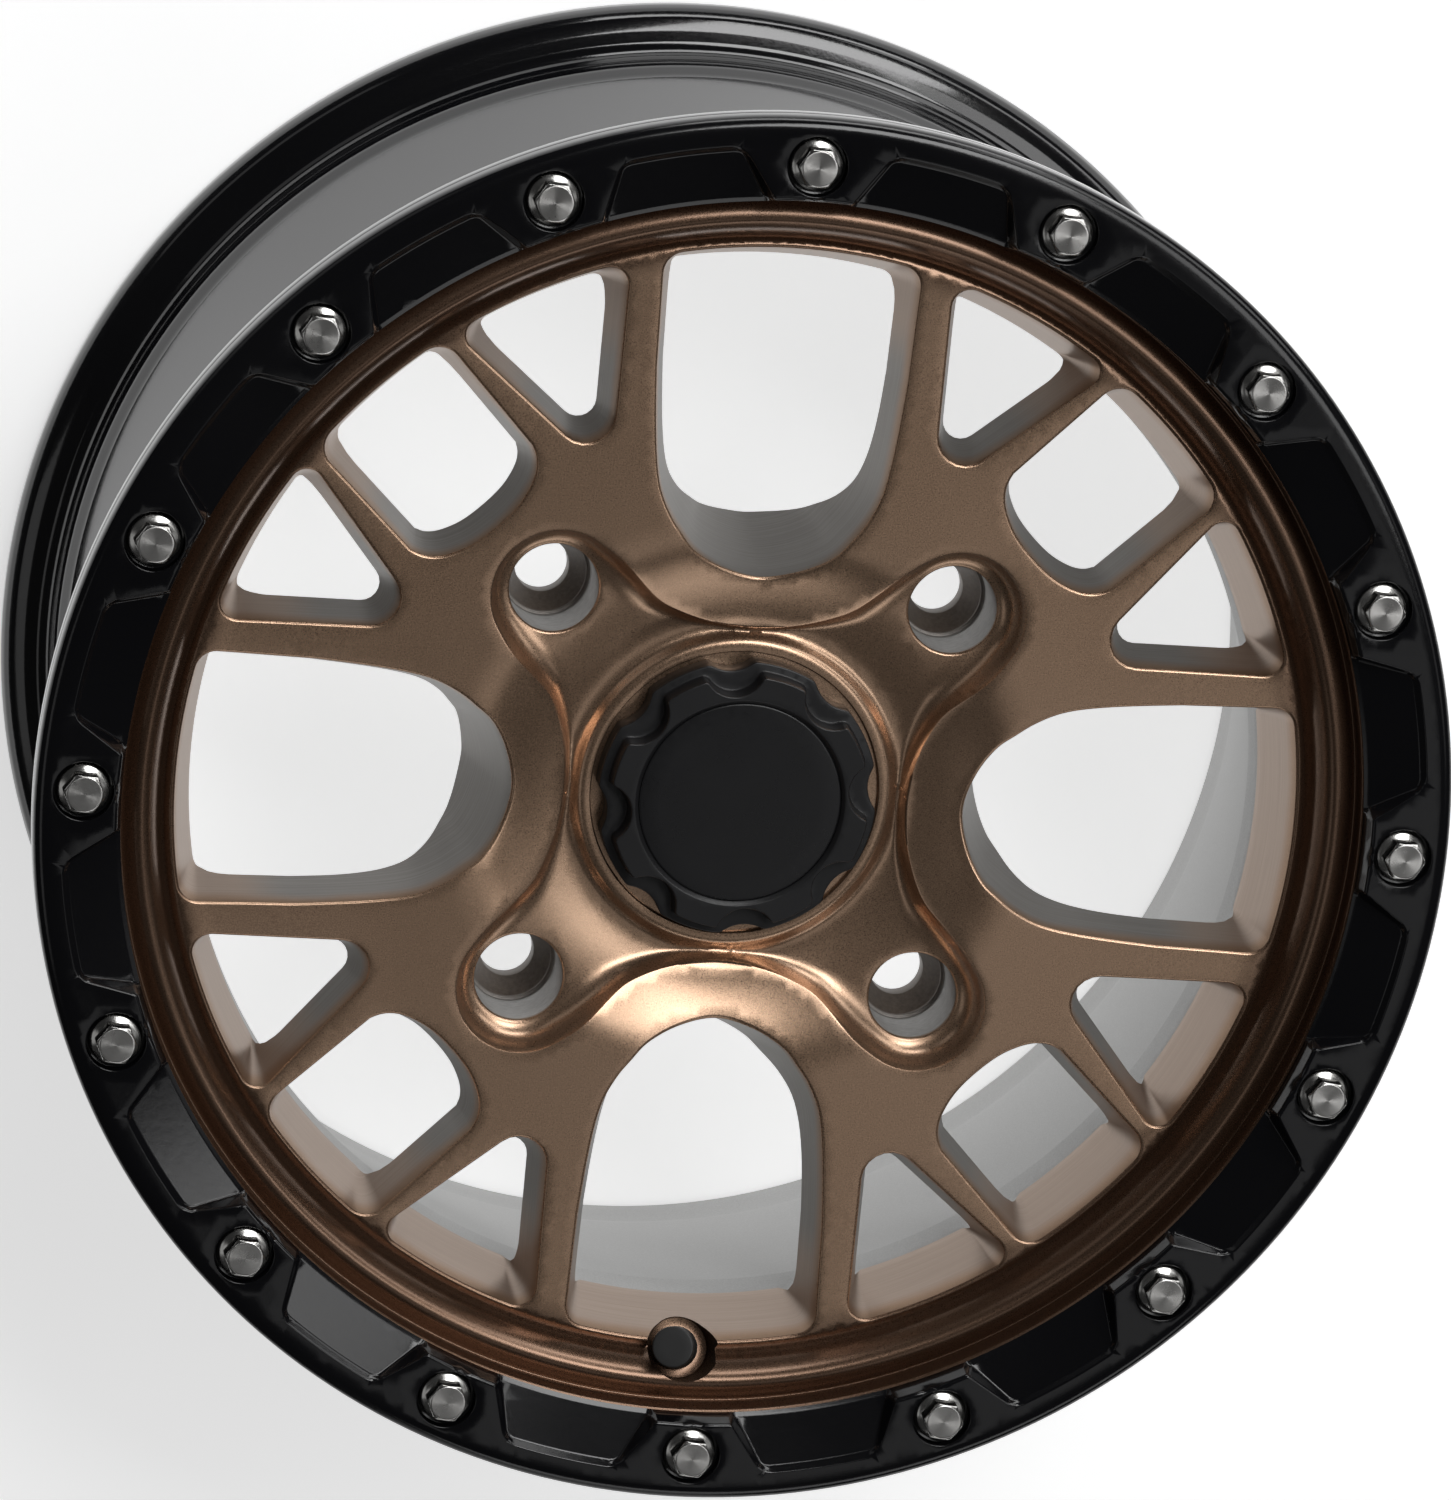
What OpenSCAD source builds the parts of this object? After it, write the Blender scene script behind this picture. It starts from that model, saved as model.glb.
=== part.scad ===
// Cast utility vehicle wheel with a bolted outer ring, snap-in centre cap and
// rubber snap-in valve. The wheel stands on its inboard rim edge, +Z is the
// wheel axis and points outboard, the valve is at -Y.

/* [Rim] */
// Radius of the inboard flange edge
flange_in_r = 191; // [189.5:0.5:192.5]
// Radius of the outboard flange edge, behind the ring
flange_out_r = 193.9; // [193:0.1:194]
// Radius of both tyre bead seats
seat_r = 177; // [176.5:0.1:177.4]
// Radius of the drop well, outside
well_r = 153.5; // [153:0.1:155]
// Height of the outboard flange's front face
flange_face_z = 190; // [190:0.1:190]

/* [Hub] */
// Height of the back pad that bolts to the vehicle's hub
pad_z = 133; // [131:0.5:135]
// Radius of the hub bore in the back pad
hub_bore_r = 66; // [64:0.5:66.5]
// Depth of the hub bore
hub_bore_depth = 7; // [5:0.5:8]
// Radius of the bore that holds the centre cap
cap_bore_r = 35.5; // [34:0.5:35.5]
// Radius of the shallow mouth round the cap
cap_mouth_r = 39.8; // [39.4:0.1:40]

/* [Lug holes] */
// Pitch circle radius of the lug holes
lug_pcr = 78; // [76:0.5:79]
// Radius of each lug hole through the pad
lug_r = 7.5; // [6.5:0.1:7.5]
// Radius of the socket well over each lug seat
lug_well_r = 12.3; // [12:0.1:12.5]

/* [Windows] */
// Draft of the window walls, in degrees
window_draft = 14.5; // [12:0.5:16]
// Outer radius of the windows
window_r = 154.6; // [153:0.1:155]
// Half width of the four large windows at the rim end
big_half = 35.1; // [34:0.1:35.5]
// Half width of the four diagonal windows
mid_half = 22.3; // [21:0.1:22.5]

/* [Ring] */
// Outer radius of the bolted ring
ring_r = 194; // [194:0.5:195]
// Height of the ring's top face
ring_top_z = 196.7; // [196:0.1:197]
// Pitch circle radius of the ring bolts
bolt_pcr = 181; // [180.5:0.1:181.5]
// Number of ring bolts
bolt_n = 16; // [16:1:16]
// Across flats of the bolt heads
bolt_af = 10; // [9.8:0.1:10]

/* [Centre cap] */
// Height of the cap's top face
cap_top_z = 174.7; // [173:0.1:176]
// Radius of the cap's flange
cap_flange_r = 38.6; // [38:0.1:39]
// Radius of the cap's raised top tier
cap_top_r = 35.7; // [35:0.1:36]
// Radius of the disc set in the top
disc_r = 27.9; // [26:0.1:28]

/* [Valve] */
// Lean of the valve away from the wheel axis plane, in degrees
valve_lean = -13.1; // [-14:0.1:-12]
// Tilt of the valve towards the wheel axis, in degrees
valve_tilt = -19.2; // [-20:0.1:-18]
// Tilt of the valve pocket and of the hole in the rim, in degrees
pocket_tilt = -22.5; // [-23:0.5:-22]
// Length of the valve from the rim to the end of its cap
valve_len = 20; // [20:0.5:20]
// Outer radius of the valve cap
vcap_r = 5.75; // [5.5:0.05:5.8]

/* [Hidden] */
$fn = 96;
e = 0.01;
floor_pt = [-1.7, -160, 167];   // middle of the valve pocket's floor
draft_t = tan(window_draft);
stem_r = 3.85;

bronze = [0.47, 0.37, 0.28];
black = [0.06, 0.06, 0.065];
steel = [0.72, 0.73, 0.74];
brass_c = [0.72, 0.56, 0.25];
rubber_c = [0.09, 0.09, 0.09];

// ---- helpers ----
function unit(v) = v / norm(v);
// line through a and b, moved to its left by d: [point, direction]
function moved(a, b, d) = let (u = unit(b - a)) [a + d * [-u[1], u[0]], u];
function cross2(a, b) = a[0] * b[1] - a[1] * b[0];
function meet(l, m) = l[0] + l[1] * cross2(m[0] - l[0], m[1]) / cross2(l[1], m[1]);
// outline (counter-clockwise) moved inwards by d
function inset(p, d) = [for (i = [0:len(p) - 1])
    let (n = len(p), a = p[(i + n - 1) % n], b = p[i], c = p[(i + 1) % n])
    meet(moved(a, b, d), moved(b, c, d))];
// corner at b between a and c as an arc of radius r with k steps
function corner(a, b, c, r, k) = let (
    u = unit(a - b), v = unit(c - b),
    half = acos(u * v) / 2,
    t = r / tan(half),
    w = unit(u + v),
    m = b + w * r / sin(half),
    s = b + u * t - m,
    f = b + v * t - m,
    a0 = atan2(s[1], s[0]),
    sweep = atan2(cross2(s, f), s * f))
    [for (j = [0:k]) m + r * [cos(a0 + sweep * j / k), sin(a0 + sweep * j / k)]];
// outline whose corners are rounded; a radius of 0 leaves the point as it is
function rounded(p, r, k) = [for (i = [0:len(p) - 1])
    let (n = len(p))
    each (r[i] <= 0 ? [p[i]] : corner(p[(i + n - 1) % n], p[i], p[(i + 1) % n], r[i], k))];
function radii_in(r, d) = [for (x = r) x <= 0 ? 0 : max(0.8, x - 0.8 * d)];
function mirrored(p) = concat(p, [for (i = [len(p) - 1:-1:0]) if (p[i][0] > 0.001) [-p[i][0], p[i][1]]]);
function mirrored_r(p, r) = concat(r, [for (i = [len(p) - 1:-1:0]) if (p[i][0] > 0.001) r[i]]);

// a through cut that follows outline p at height z1 and narrows downwards to z0
module drafted(p, r, k, z0, z1) {
    zf = 175;    // height at which the outline is true
    lo = rounded(inset(p, (zf - z0) * draft_t), radii_in(r, (zf - z0) * draft_t), k);
    hi = rounded(inset(p, (zf - z1) * draft_t), [for (x = r) x <= 0 ? 0 : x + 0.2], k);
    n = len(lo);
    polyhedron(
        points = concat([for (q = lo) [q[0], q[1], z0]], [for (q = hi) [q[0], q[1], z1]]),
        faces = concat(
            [[for (i = [n - 1:-1:0]) n + i]],
            [[for (i = [0:n - 1]) i]],
            [for (i = [0:n - 1]) [i, n + i, n + (i + 1) % n, (i + 1) % n]]));
}

// the rim end of every window is one cone about the wheel axis; the outlines run past it
module rim_cone(z0, z1) translate([0, 0, z0])
    cylinder(r1 = window_r - (175 - z0) * draft_t, r2 = window_r + (z1 - 175) * draft_t, h = z1 - z0);

// large window on the +Y axis: half outline from the hub end to the rim end
big_half_pts = [[0, 61.4], [11, 64.2], [19.5, 69.6], [23.2, 74.2], [27, 79.6], [30.8, 88.5],
                [big_half - 0.7, 120], [big_half, sqrt(window_r * window_r - big_half * big_half)], [0, 163]];
big_half_rad = [0, 0, 0, 0, 0, 0, 0, 6, 0];
big_pts = mirrored(big_half_pts);
big_rad = mirrored_r(big_half_pts, big_half_rad);

// diagonal window, drawn on the +Y axis
mid_half_pts = [[0, 103.8], [10, 104.9], [18, 108.8], [21.6, 114.8],
                [mid_half, sqrt(window_r * window_r - mid_half * mid_half)], [0, 160.5]];
mid_half_rad = [0, 0, 0, 0, 6.5, 0];
mid_pts = mirrored(mid_half_pts);
mid_rad = mirrored_r(mid_half_pts, mid_half_rad);

// three-cornered window on the right of the +Y axis
tri_pts = [[44.1, 88.8], [89.4, 126.1], [70.5, 145.1], [44.1, 148.2]];
tri_rad = [8, 4.5, 0, 5];

module valve_frame() translate(floor_pt) rotate([valve_tilt, valve_lean, 0]) children();
module pocket_frame() translate(floor_pt) rotate([pocket_tilt, 0, 0]) children();

// ---- wheel ----
wheel_profile = [
    // inboard flange
    [173.4, 0], [188.6, 0], [190.4, 0.8], [flange_in_r, 2.4], [flange_in_r, 6.6], [190, 9],
    [187.6, 11], [184, 12.2], [181, 12.4], [179, 13.3], [177.9, 15], [seat_r, 17.5],
    // bead seat, ramp and the long outer cone to the well
    [seat_r - 0.4, 24], [174.3, 27], [well_r + 1.2, 134], [well_r, 141], [well_r, 150],
    [155.5, 153.2], [164, 156.5], [172.5, 159], [175.6, 161], [seat_r - 0.6, 164], [seat_r, 173.5],
    // outboard flange
    [177.9, 176], [179.6, 177.6], [182, 178.2], [188, 178.6], [191.4, 180.2],
    [193.2, 182.8], [flange_out_r, 186], [flange_out_r, 189.2], [193.2, flange_face_z],
    [171.6, flange_face_z],
    // lip wall, its sharp inner corner and the roll
    [170.2, 188.6], [170, 181.7], [168.8, 182], [167.4, 183], [165.6, 183.8], [163.8, 183.9],
    [162.2, 183], [160.8, 181.2], [159.6, 178.8], [158.6, 176], [157.7, 174.2],
    [157.2, 174.3], [156.6, 175.4], [154.6, 176], [148, 175.6],
    // face
    [110, 175], [76, 175], [71, 174.3], [66, 172.3], [60, 169.7], [54, 168], [49, 166.9], [47.9, 166.3],
    // valley and roll round the cap
    [47.3, 163], [46.6, 161.4], [45.6, 161], [44.9, 161.2], [44, 162.4], [43.2, 163.6], [42.3, 164],
    [41, 164.1], [cap_mouth_r + 0.3, 164], [cap_mouth_r, 163.6], [cap_mouth_r, 162.5],
    // cap bore and hub bore
    [cap_bore_r, 162.5], [cap_bore_r, 151], [44, 151], [57, 147],
    [hub_bore_r, pad_z + hub_bore_depth], [hub_bore_r, pad_z + 0.6], [hub_bore_r + 0.6, pad_z],
    // back pad, spoke backs and the inside of the barrel
    [71.8, pad_z], [72.6, 134.7], [75.5, 139.6], [79, 145], [82.5, 149.6], [86, 153], [90, 155.8],
    [95, 158], [101, 159.6], [108, 160.5], [112, 160.8],
    [142, 160.8], [146.4, 159.2], [148.4, 156.4], [148.8, 154], [148.8, 141],
    [170.1, 28], [172, 22], [173, 14]];

module flower() {
    // shallow recess: four lobes round the lug holes, joined at the cap
    intersection() {
        rotate_extrude() polygon([[46.2, 161.2], [50, 161.9], [56, 163.5], [64, 164.7], [70, 165],
                                  [98, 165], [98, 180], [46.2, 180]]);
        translate([0, 0, 158]) linear_extrude(height = 24) {
            difference() {
                circle(r = 71.5);
                for (q = [0:3]) rotate(q * 90) translate([103.4, 0]) circle(r = 56);
            }
            for (q = [0:3]) rotate(45 + q * 90) translate([lug_pcr, 0]) circle(r = 18.4);
        }
    }
}

module lug_hole() {
    translate([lug_pcr, 0, 0]) {
        translate([0, 0, pad_z - 2]) cylinder(r = lug_r, h = 10);
        translate([0, 0, 138.7]) cylinder(r1 = lug_r, r2 = 11.3, h = 6.6);
        translate([0, 0, 145.29]) cylinder(r = 11.3, h = 1.1);
        translate([0, 0, 146.3]) cylinder(r = lug_well_r, h = 30);
    }
}

// one boss behind each lug hole carries the pad out past the hub ring
module lug_boss() difference() {
    translate([lug_pcr, 0, pad_z]) cylinder(r = 17, h = 24);
    translate([0, 0, pad_z - 2]) cylinder(r = 69, h = 29);
}

// the turned form with the recess and all round holes
module wheel_turned() difference() {
    union() {
        rotate_extrude() polygon(wheel_profile);
        for (q = [0:3]) rotate(45 + q * 90) lug_boss();
    }
    flower();
    for (q = [0:3]) rotate(45 + q * 90) lug_hole();
    for (i = [0:bolt_n - 1]) rotate(i * 360 / bolt_n)
        translate([bolt_pcr, 0, 182]) cylinder(r = 3.9, h = 12);
}

// the windows are cut one kind after another
module wheel_small_windows() difference() {
    wheel_turned();
    intersection() {
        for (q = [0:3]) rotate(q * 90) {
            drafted(tri_pts, tri_rad, 3, 146, 185);
            mirror([1, 0, 0]) drafted(tri_pts, tri_rad, 3, 146, 185);
        }
        rim_cone(145, 186);
    }
}

module wheel_large_windows() difference() {
    wheel_small_windows();
    intersection() {
        for (q = [0:3]) rotate(q * 90) drafted(big_pts, big_rad, 3, 129, 185);
        rim_cone(128, 186);
    }
}

module wheel_all_windows() difference() {
    wheel_large_windows();
    intersection() {
        for (q = [0:3]) rotate(45 + q * 90) drafted(mid_pts, mid_rad, 3, 140, 185);
        rim_cone(139, 186);
    }
}

module wheel() {
    color(bronze) difference() {
        wheel_all_windows();
        // valve pocket, valve hole and the flat it seats on from the air side
        pocket_frame() {
            cylinder(r = 8.6, h = 4);
            translate([0, 0, 3.9]) cylinder(r1 = 8.7, r2 = 10.3, h = 8);
            translate([0, 0, 11.8]) cylinder(r = 10.3, h = 14);
            translate([0, 0, -20]) cylinder(r = 5.75, h = 24);
            translate([0, 0, -24]) cylinder(r = 12, h = 20);
        }
    }
}

// ---- ring and its bolts ----
module pocket_cut() {
    // five stations across; floor falls towards the ring's inner edge
    u = [-1, -0.5, 0, 0.5, 1];
    function pt(r, a, z) = [r * cos(a), r * sin(a), z];
    a_lo_out = 4.74; a_lo_in = 8.4; a_hi_out = 5.2; a_hi_in = 9.5;
    polyhedron(
        points = concat(
            [for (s = u) pt(185, s * a_lo_out, 195.3)],
            [for (s = u) pt(165, s * a_lo_in, 189.1)],
            [for (s = u) pt(187.3, s * a_hi_out, 197.5)],
            [for (s = u) pt(165, s * a_hi_in, 197.5)]),
        faces = concat(
            [for (i = [0:3]) [i, i + 1, i + 6, i + 5]],
            [for (i = [0:3]) [i + 10, i + 15, i + 16, i + 11]],
            [for (i = [0:3]) [i, i + 10, i + 11, i + 1]],
            [for (i = [0:3]) [i + 5, i + 6, i + 16, i + 15]],
            [[0, 5, 15, 10], [4, 14, 19, 9]]));
}

module outer_ring() {
    color(black) difference() {
        rotate_extrude() polygon([
            [170.2, flange_face_z], [193.2, flange_face_z], [ring_r, 190.8], [ring_r, 194.4], [193.3, 195.6],
            [191.9, 196.4], [190.2, ring_top_z], [172.8, ring_top_z], [171.9, 196.3], [171.5, 195.4], [170.3, 190.6]]);
        for (i = [0:bolt_n - 1]) rotate(i * 360 / bolt_n) {
            translate([bolt_pcr, 0, flange_face_z - 1]) cylinder(r = 3.3, h = 10);
            translate([bolt_pcr, 0, 193.4]) cylinder(r = 8.1, h = 10);
            rotate(180 / bolt_n) pocket_cut();
        }
    }
}

module ring_bolt(turn) {
    intersection() {
        union() {
            rotate_extrude() polygon([[0, 183.4], [2.4, 183.4], [3, 184], [3, 193.4], [7, 193.4], [7.1, 193.7],
                                      [7.1, 194.3], [6.6, 194.8], [5.2, 195.3], [4.6, 195.6], [4.6, 196], [0, 196]]);
            rotate(turn) translate([0, 0, 194.6]) cylinder(r = bolt_af / 2 / cos(30), h = 5.4, $fn = 6);
        }
        rotate_extrude() polygon([[0, 183], [9, 183], [9, 197.7], [4.65, 200], [0, 200]]);
    }
}

module ring_bolts() {
    color(steel) for (i = [0:bolt_n - 1]) rotate(i * 360 / bolt_n)
        translate([bolt_pcr, 0, 0]) ring_bolt((i * 37) % 60);
}

module thread_inserts() {
    color(steel) for (i = [0:bolt_n - 1]) rotate(i * 360 / bolt_n) translate([bolt_pcr, 0, 0])
        rotate_extrude() polygon([[3.02, 182.6], [3.88, 182.6], [3.88, 189.5], [3.5, 189.9], [3.02, 189.9]]);
}

// ---- centre cap ----
module cap_body() {
    color(black) difference() {
        rotate_extrude() polygon([
            // moulded shell: flange, top tier, recess for the disc, skirt
            [0, 170.2], [0, 173.2], [disc_r + 0.1, 173.2], [disc_r + 0.1, 173.6], [disc_r + 0.9, cap_top_z],
            [cap_top_r - 0.5, cap_top_z], [cap_top_r, cap_top_z - 0.5], [cap_top_r + 0.15, 169.5],
            [cap_flange_r - 0.4, 169.5], [cap_flange_r, 169.1], [cap_flange_r, 162.5],
            [cap_bore_r - 0.05, 162.5], [cap_bore_r - 0.05, 152.6], [cap_bore_r - 0.7, 151.4],
            [cap_bore_r - 3, 151.4], [cap_bore_r - 3, 154], [cap_bore_r - 2.4, 154.4], [cap_bore_r - 2.4, 155.8],
            [cap_bore_r - 3, 156.2], [cap_bore_r - 3, 166.2], [28.9, 167], [28, 170.2]]);
        for (i = [0:7]) rotate(7.3 + i * 45) {
            translate([38.5, 0, 169.3]) cylinder(r = 8.5, h = 10);
            translate([46.4, 0, 160]) cylinder(r = 10.3, h = 20);
            // slots between the skirt's fingers
            rotate(22.5) translate([28, -1.5, 150]) cube([12, 3, 11]);
        }
    }
}

module cap_disc() {
    color(black) rotate_extrude() polygon([[0, 173.2], [disc_r, 173.2], [disc_r, 173.5], [disc_r - 0.3, 173.8],
                                           [15, 173.86], [0, 173.9]]);
}

module cap_spring_ring() {
    color(steel) translate([0, 0, 155.1]) rotate([0, 0, 8]) rotate_extrude(angle = 344)
        translate([cap_bore_r - 3.1, 0]) circle(r = 0.65, $fn = 24);
}

// ---- valve ----
module valve_body() {
    color(rubber_c) difference() {
        union() {
            // bulb on the air side and neck in the hole
            pocket_frame() rotate_extrude() polygon([[0, -13], [5.2, -13], [6.4, -12.2], [8.4, -7.4], [8.6, -5.4],
                                                     [8.2, -4.02], [5.73, -4.02], [5.73, 0.6], [0, 0.6]]);
            // tapered outer part, leaning in the pocket
            valve_frame() rotate_extrude() polygon([[0, -1.4], [4, -1.4], [4.6, 1.4], [6, 2.2], [6, 3.4], [5.4, 5.5],
                                                    [4.95, 9], [0, 9]]);
        }
        pocket_frame() translate([0, 0, -16]) cylinder(r = 1.7, h = 16.4);
        valve_frame() {
            translate([0, 0, -0.4]) cylinder(r = 1.7, h = 3);
            translate([0, 0, 2]) cylinder(r = 3.1, h = 10);
        }
    }
}

module valve_stem() {
    color(brass_c) valve_frame() rotate_extrude() polygon([
        [3.08, 2.05], [3.08, 9.05], [3.6, 9.05], [stem_r, 9.3], [stem_r, 18.1], [3.5, 18.5],
        [2.9, 18.5], [2.76, 18.3], [2.76, 9.9], [2, 9.3], [2, 2.05]]);
}

module core_housing() {
    color(brass_c) valve_frame() rotate_extrude() polygon([
        [0.66, 11], [2.3, 11], [2.3, 13.9], [2.72, 14.2], [2.72, 18], [1.5, 18], [1.5, 17.2],
        [1.32, 17], [1.32, 11.7], [0.66, 11.7]]);
}

module core_seal() {
    color(rubber_c) valve_frame() rotate_extrude() polygon([
        [2.32, 11.7], [2.6, 11.7], [2.74, 12.3], [2.74, 13.2], [2.6, 13.7], [2.32, 13.7]]);
}

module core_pin() {
    color(brass_c) valve_frame() rotate_extrude() polygon([
        [0, 9.4], [0.5, 9.4], [0.6, 9.5], [0.6, 16.2], [1.2, 16.4], [1.2, 16.8], [0.6, 16.9],
        [0.6, 17.6], [0.4, 17.8], [0, 17.8]]);
}

module core_cup() {
    color(rubber_c) valve_frame() rotate_extrude() polygon([
        [0.62, 9.9], [1.2, 9.9], [1.7, 10.4], [1.7, 10.96], [0.62, 10.96]]);
}

// coil swept along a helix: six-sided wire, 12 rings a turn
module core_spring() {
    turns = 6; per = 12; n = turns * per; wr = 0.11; hr = 0.96; z0 = 11.85; z1 = 16.15;
    function ctr(i) = [hr * cos(i * 360 / per), hr * sin(i * 360 / per), z0 + (z1 - z0) * i / n];
    function ring(i) = [for (j = [0:5]) let (c = ctr(i), a = i * 360 / per)
        c + wr * (cos(j * 60) * [cos(a), sin(a), 0] + sin(j * 60) * [0, 0, 1])];
    color(steel) valve_frame() polyhedron(
        points = [for (i = [0:n]) each ring(i)],
        faces = concat(
            [[for (j = [0:5]) j]],
            [[for (j = [5:-1:0]) n * 6 + j]],
            [for (i = [0:n - 1]) for (j = [0:5])
                [i * 6 + j, (i + 1) * 6 + j, (i + 1) * 6 + (j + 1) % 6, i * 6 + (j + 1) % 6]]));
}

module valve_cap() {
    color(rubber_c) valve_frame() difference() {
        rotate_extrude() polygon([
            [stem_r + 0.05, 9.8], [5.3, 9.8], [5.6, 10.2], [vcap_r, 19.5], [vcap_r - 0.4, valve_len], [0, valve_len],
            [0, 19.2], [3.7, 19.2], [stem_r + 0.05, 19]]);
        for (i = [0:11]) rotate(i * 30) translate([vcap_r + 0.9, 0, 8]) cylinder(r = 1.2, h = 10.4, $fn = 24);
    }
}

module cap_gasket() {
    color(rubber_c) valve_frame() rotate_extrude() polygon([
        [0, 18.6], [3.6, 18.6], [3.7, 18.8], [3.7, 19.18], [0, 19.18]]);
}

wheel();
outer_ring();
ring_bolts();
thread_inserts();
cap_body();
cap_disc();
cap_spring_ring();
valve_body();
valve_stem();
core_housing();
core_seal();
core_pin();
core_cup();
core_spring();
valve_cap();
cap_gasket();
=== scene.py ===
import math

import bmesh
import bpy
import numpy as np
from mathutils import Matrix, Vector
from mathutils.geometry import delaunay_2d_cdt
from mathutils.kdtree import KDTree


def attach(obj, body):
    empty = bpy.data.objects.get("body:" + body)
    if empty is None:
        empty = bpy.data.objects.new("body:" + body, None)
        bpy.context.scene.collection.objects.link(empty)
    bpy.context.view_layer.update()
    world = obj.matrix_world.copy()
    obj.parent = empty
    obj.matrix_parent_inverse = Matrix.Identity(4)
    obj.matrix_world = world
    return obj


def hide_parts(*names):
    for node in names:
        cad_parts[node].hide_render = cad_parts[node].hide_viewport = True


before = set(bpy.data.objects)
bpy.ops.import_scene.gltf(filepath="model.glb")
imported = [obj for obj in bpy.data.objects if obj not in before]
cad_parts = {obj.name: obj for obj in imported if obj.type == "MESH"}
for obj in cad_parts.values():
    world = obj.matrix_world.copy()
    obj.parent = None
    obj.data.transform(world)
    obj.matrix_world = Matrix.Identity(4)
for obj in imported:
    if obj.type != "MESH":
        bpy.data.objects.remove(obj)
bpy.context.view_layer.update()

scene = bpy.context.scene
MM = 0.001
SEG = 240                        # steps round the wheel
ANG = np.arange(SEG) * (2 * math.pi / SEG)


# ---------------------------------------------------------------- mesh tools
def circle(r, z, n=SEG, cx=0.0, cy=0.0):
    a = np.arange(n) * (2 * math.pi / n)
    return np.stack([cx + r * np.cos(a), cy + r * np.sin(a), np.full(n, float(z))], 1)


class Shape:
    """Collects vertices and faces in millimetres and makes one welded mesh object in metres."""

    def __init__(self):
        self.v, self.f, self.m, self.uv, self.n = [], [], [], [], 0

    def add(self, pts, faces, mat=0, uvs=None):
        pts = np.asarray(pts, float).reshape(-1, 3)
        n = self.n
        self.f += [tuple(i + n for i in fa) for fa in faces]
        self.m += [mat] * len(faces)
        self.uv += uvs if uvs is not None else [None] * len(faces)
        self.v.append(pts)
        self.n += len(pts)

    def strip(self, rows, mat=0, closed=True, flip=False, uv=None):
        """uv, if given, has one more column than rows so that it can run on round the seam."""
        rows = np.asarray(rows, float)
        k, n = rows.shape[:2]
        last = n if closed else n - 1
        faces, uvs = [], []
        for a in range(k - 1):
            o, p = a * n, (a + 1) * n
            for i in range(last):
                j = (i + 1) % n
                fa = [o + i, o + j, p + j, p + i]
                if uv is not None:
                    u = [tuple(uv[a][i]), tuple(uv[a][i + 1]), tuple(uv[a + 1][i + 1]), tuple(uv[a + 1][i])]
                    uvs.append(u[::-1] if flip else u)
                faces.append(tuple(fa[::-1]) if flip else tuple(fa))
        self.add(rows, faces, mat, uvs if uv is not None else None)

    def revolve(self, prof, mat=0, n=SEG, flip=False):
        a = np.arange(n) * (2 * math.pi / n)
        c, s = np.cos(a), np.sin(a)
        self.strip([np.stack([r * c, r * s, np.full(n, float(z))], 1) for r, z in prof], mat, True, flip)

    def cap(self, r, z, n=SEG, mat=0, flip=False):
        pts = circle(r, z, n)
        faces = [tuple(range(n))]
        self.add(pts, [faces[0][::-1]] if flip else faces, mat)

    def make(self, name, mats, sharp=32.0, place=None, recalc=False):
        v = np.vstack(self.v)
        _, first, inv = np.unique(np.round(v, 4), axis=0, return_index=True, return_inverse=True)
        inv = inv.reshape(-1)
        v = v[first]
        if place is not None:
            v = v @ np.array(place[0]).T + np.array(place[1])
        faces, mi, uvs = [], [], []
        has_uv = any(u is not None for u in self.uv)
        for fa, m, uv in zip(self.f, self.m, self.uv):
            g, h = [], []
            for c, i in enumerate(fa):
                k = int(inv[i])
                if k not in g:
                    g.append(k)
                    h.append(uv[c] if uv is not None else (0.0, 0.0))
            if len(g) >= 3:
                faces.append(g)
                mi.append(m)
                uvs += h
        me = bpy.data.meshes.new(name)
        me.from_pydata((v * MM).tolist(), [], faces)
        me.polygons.foreach_set("material_index", np.array(mi, np.int32))
        if has_uv:
            layer = me.uv_layers.new(name="map")
            layer.data.foreach_set("uv", np.array(uvs, np.float32).ravel())
        me.update()
        if recalc:
            bm = bmesh.new()
            bm.from_mesh(me)
            bmesh.ops.recalc_face_normals(bm, faces=bm.faces)
            bm.to_mesh(me)
            bm.free()
        me.polygons.foreach_set("use_smooth", np.ones(len(me.polygons), bool))
        me.set_sharp_from_angle(angle=math.radians(sharp))
        for m in mats:
            me.materials.append(m)
        ob = bpy.data.objects.new(name, me)
        scene.collection.objects.link(ob)
        return ob


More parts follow.
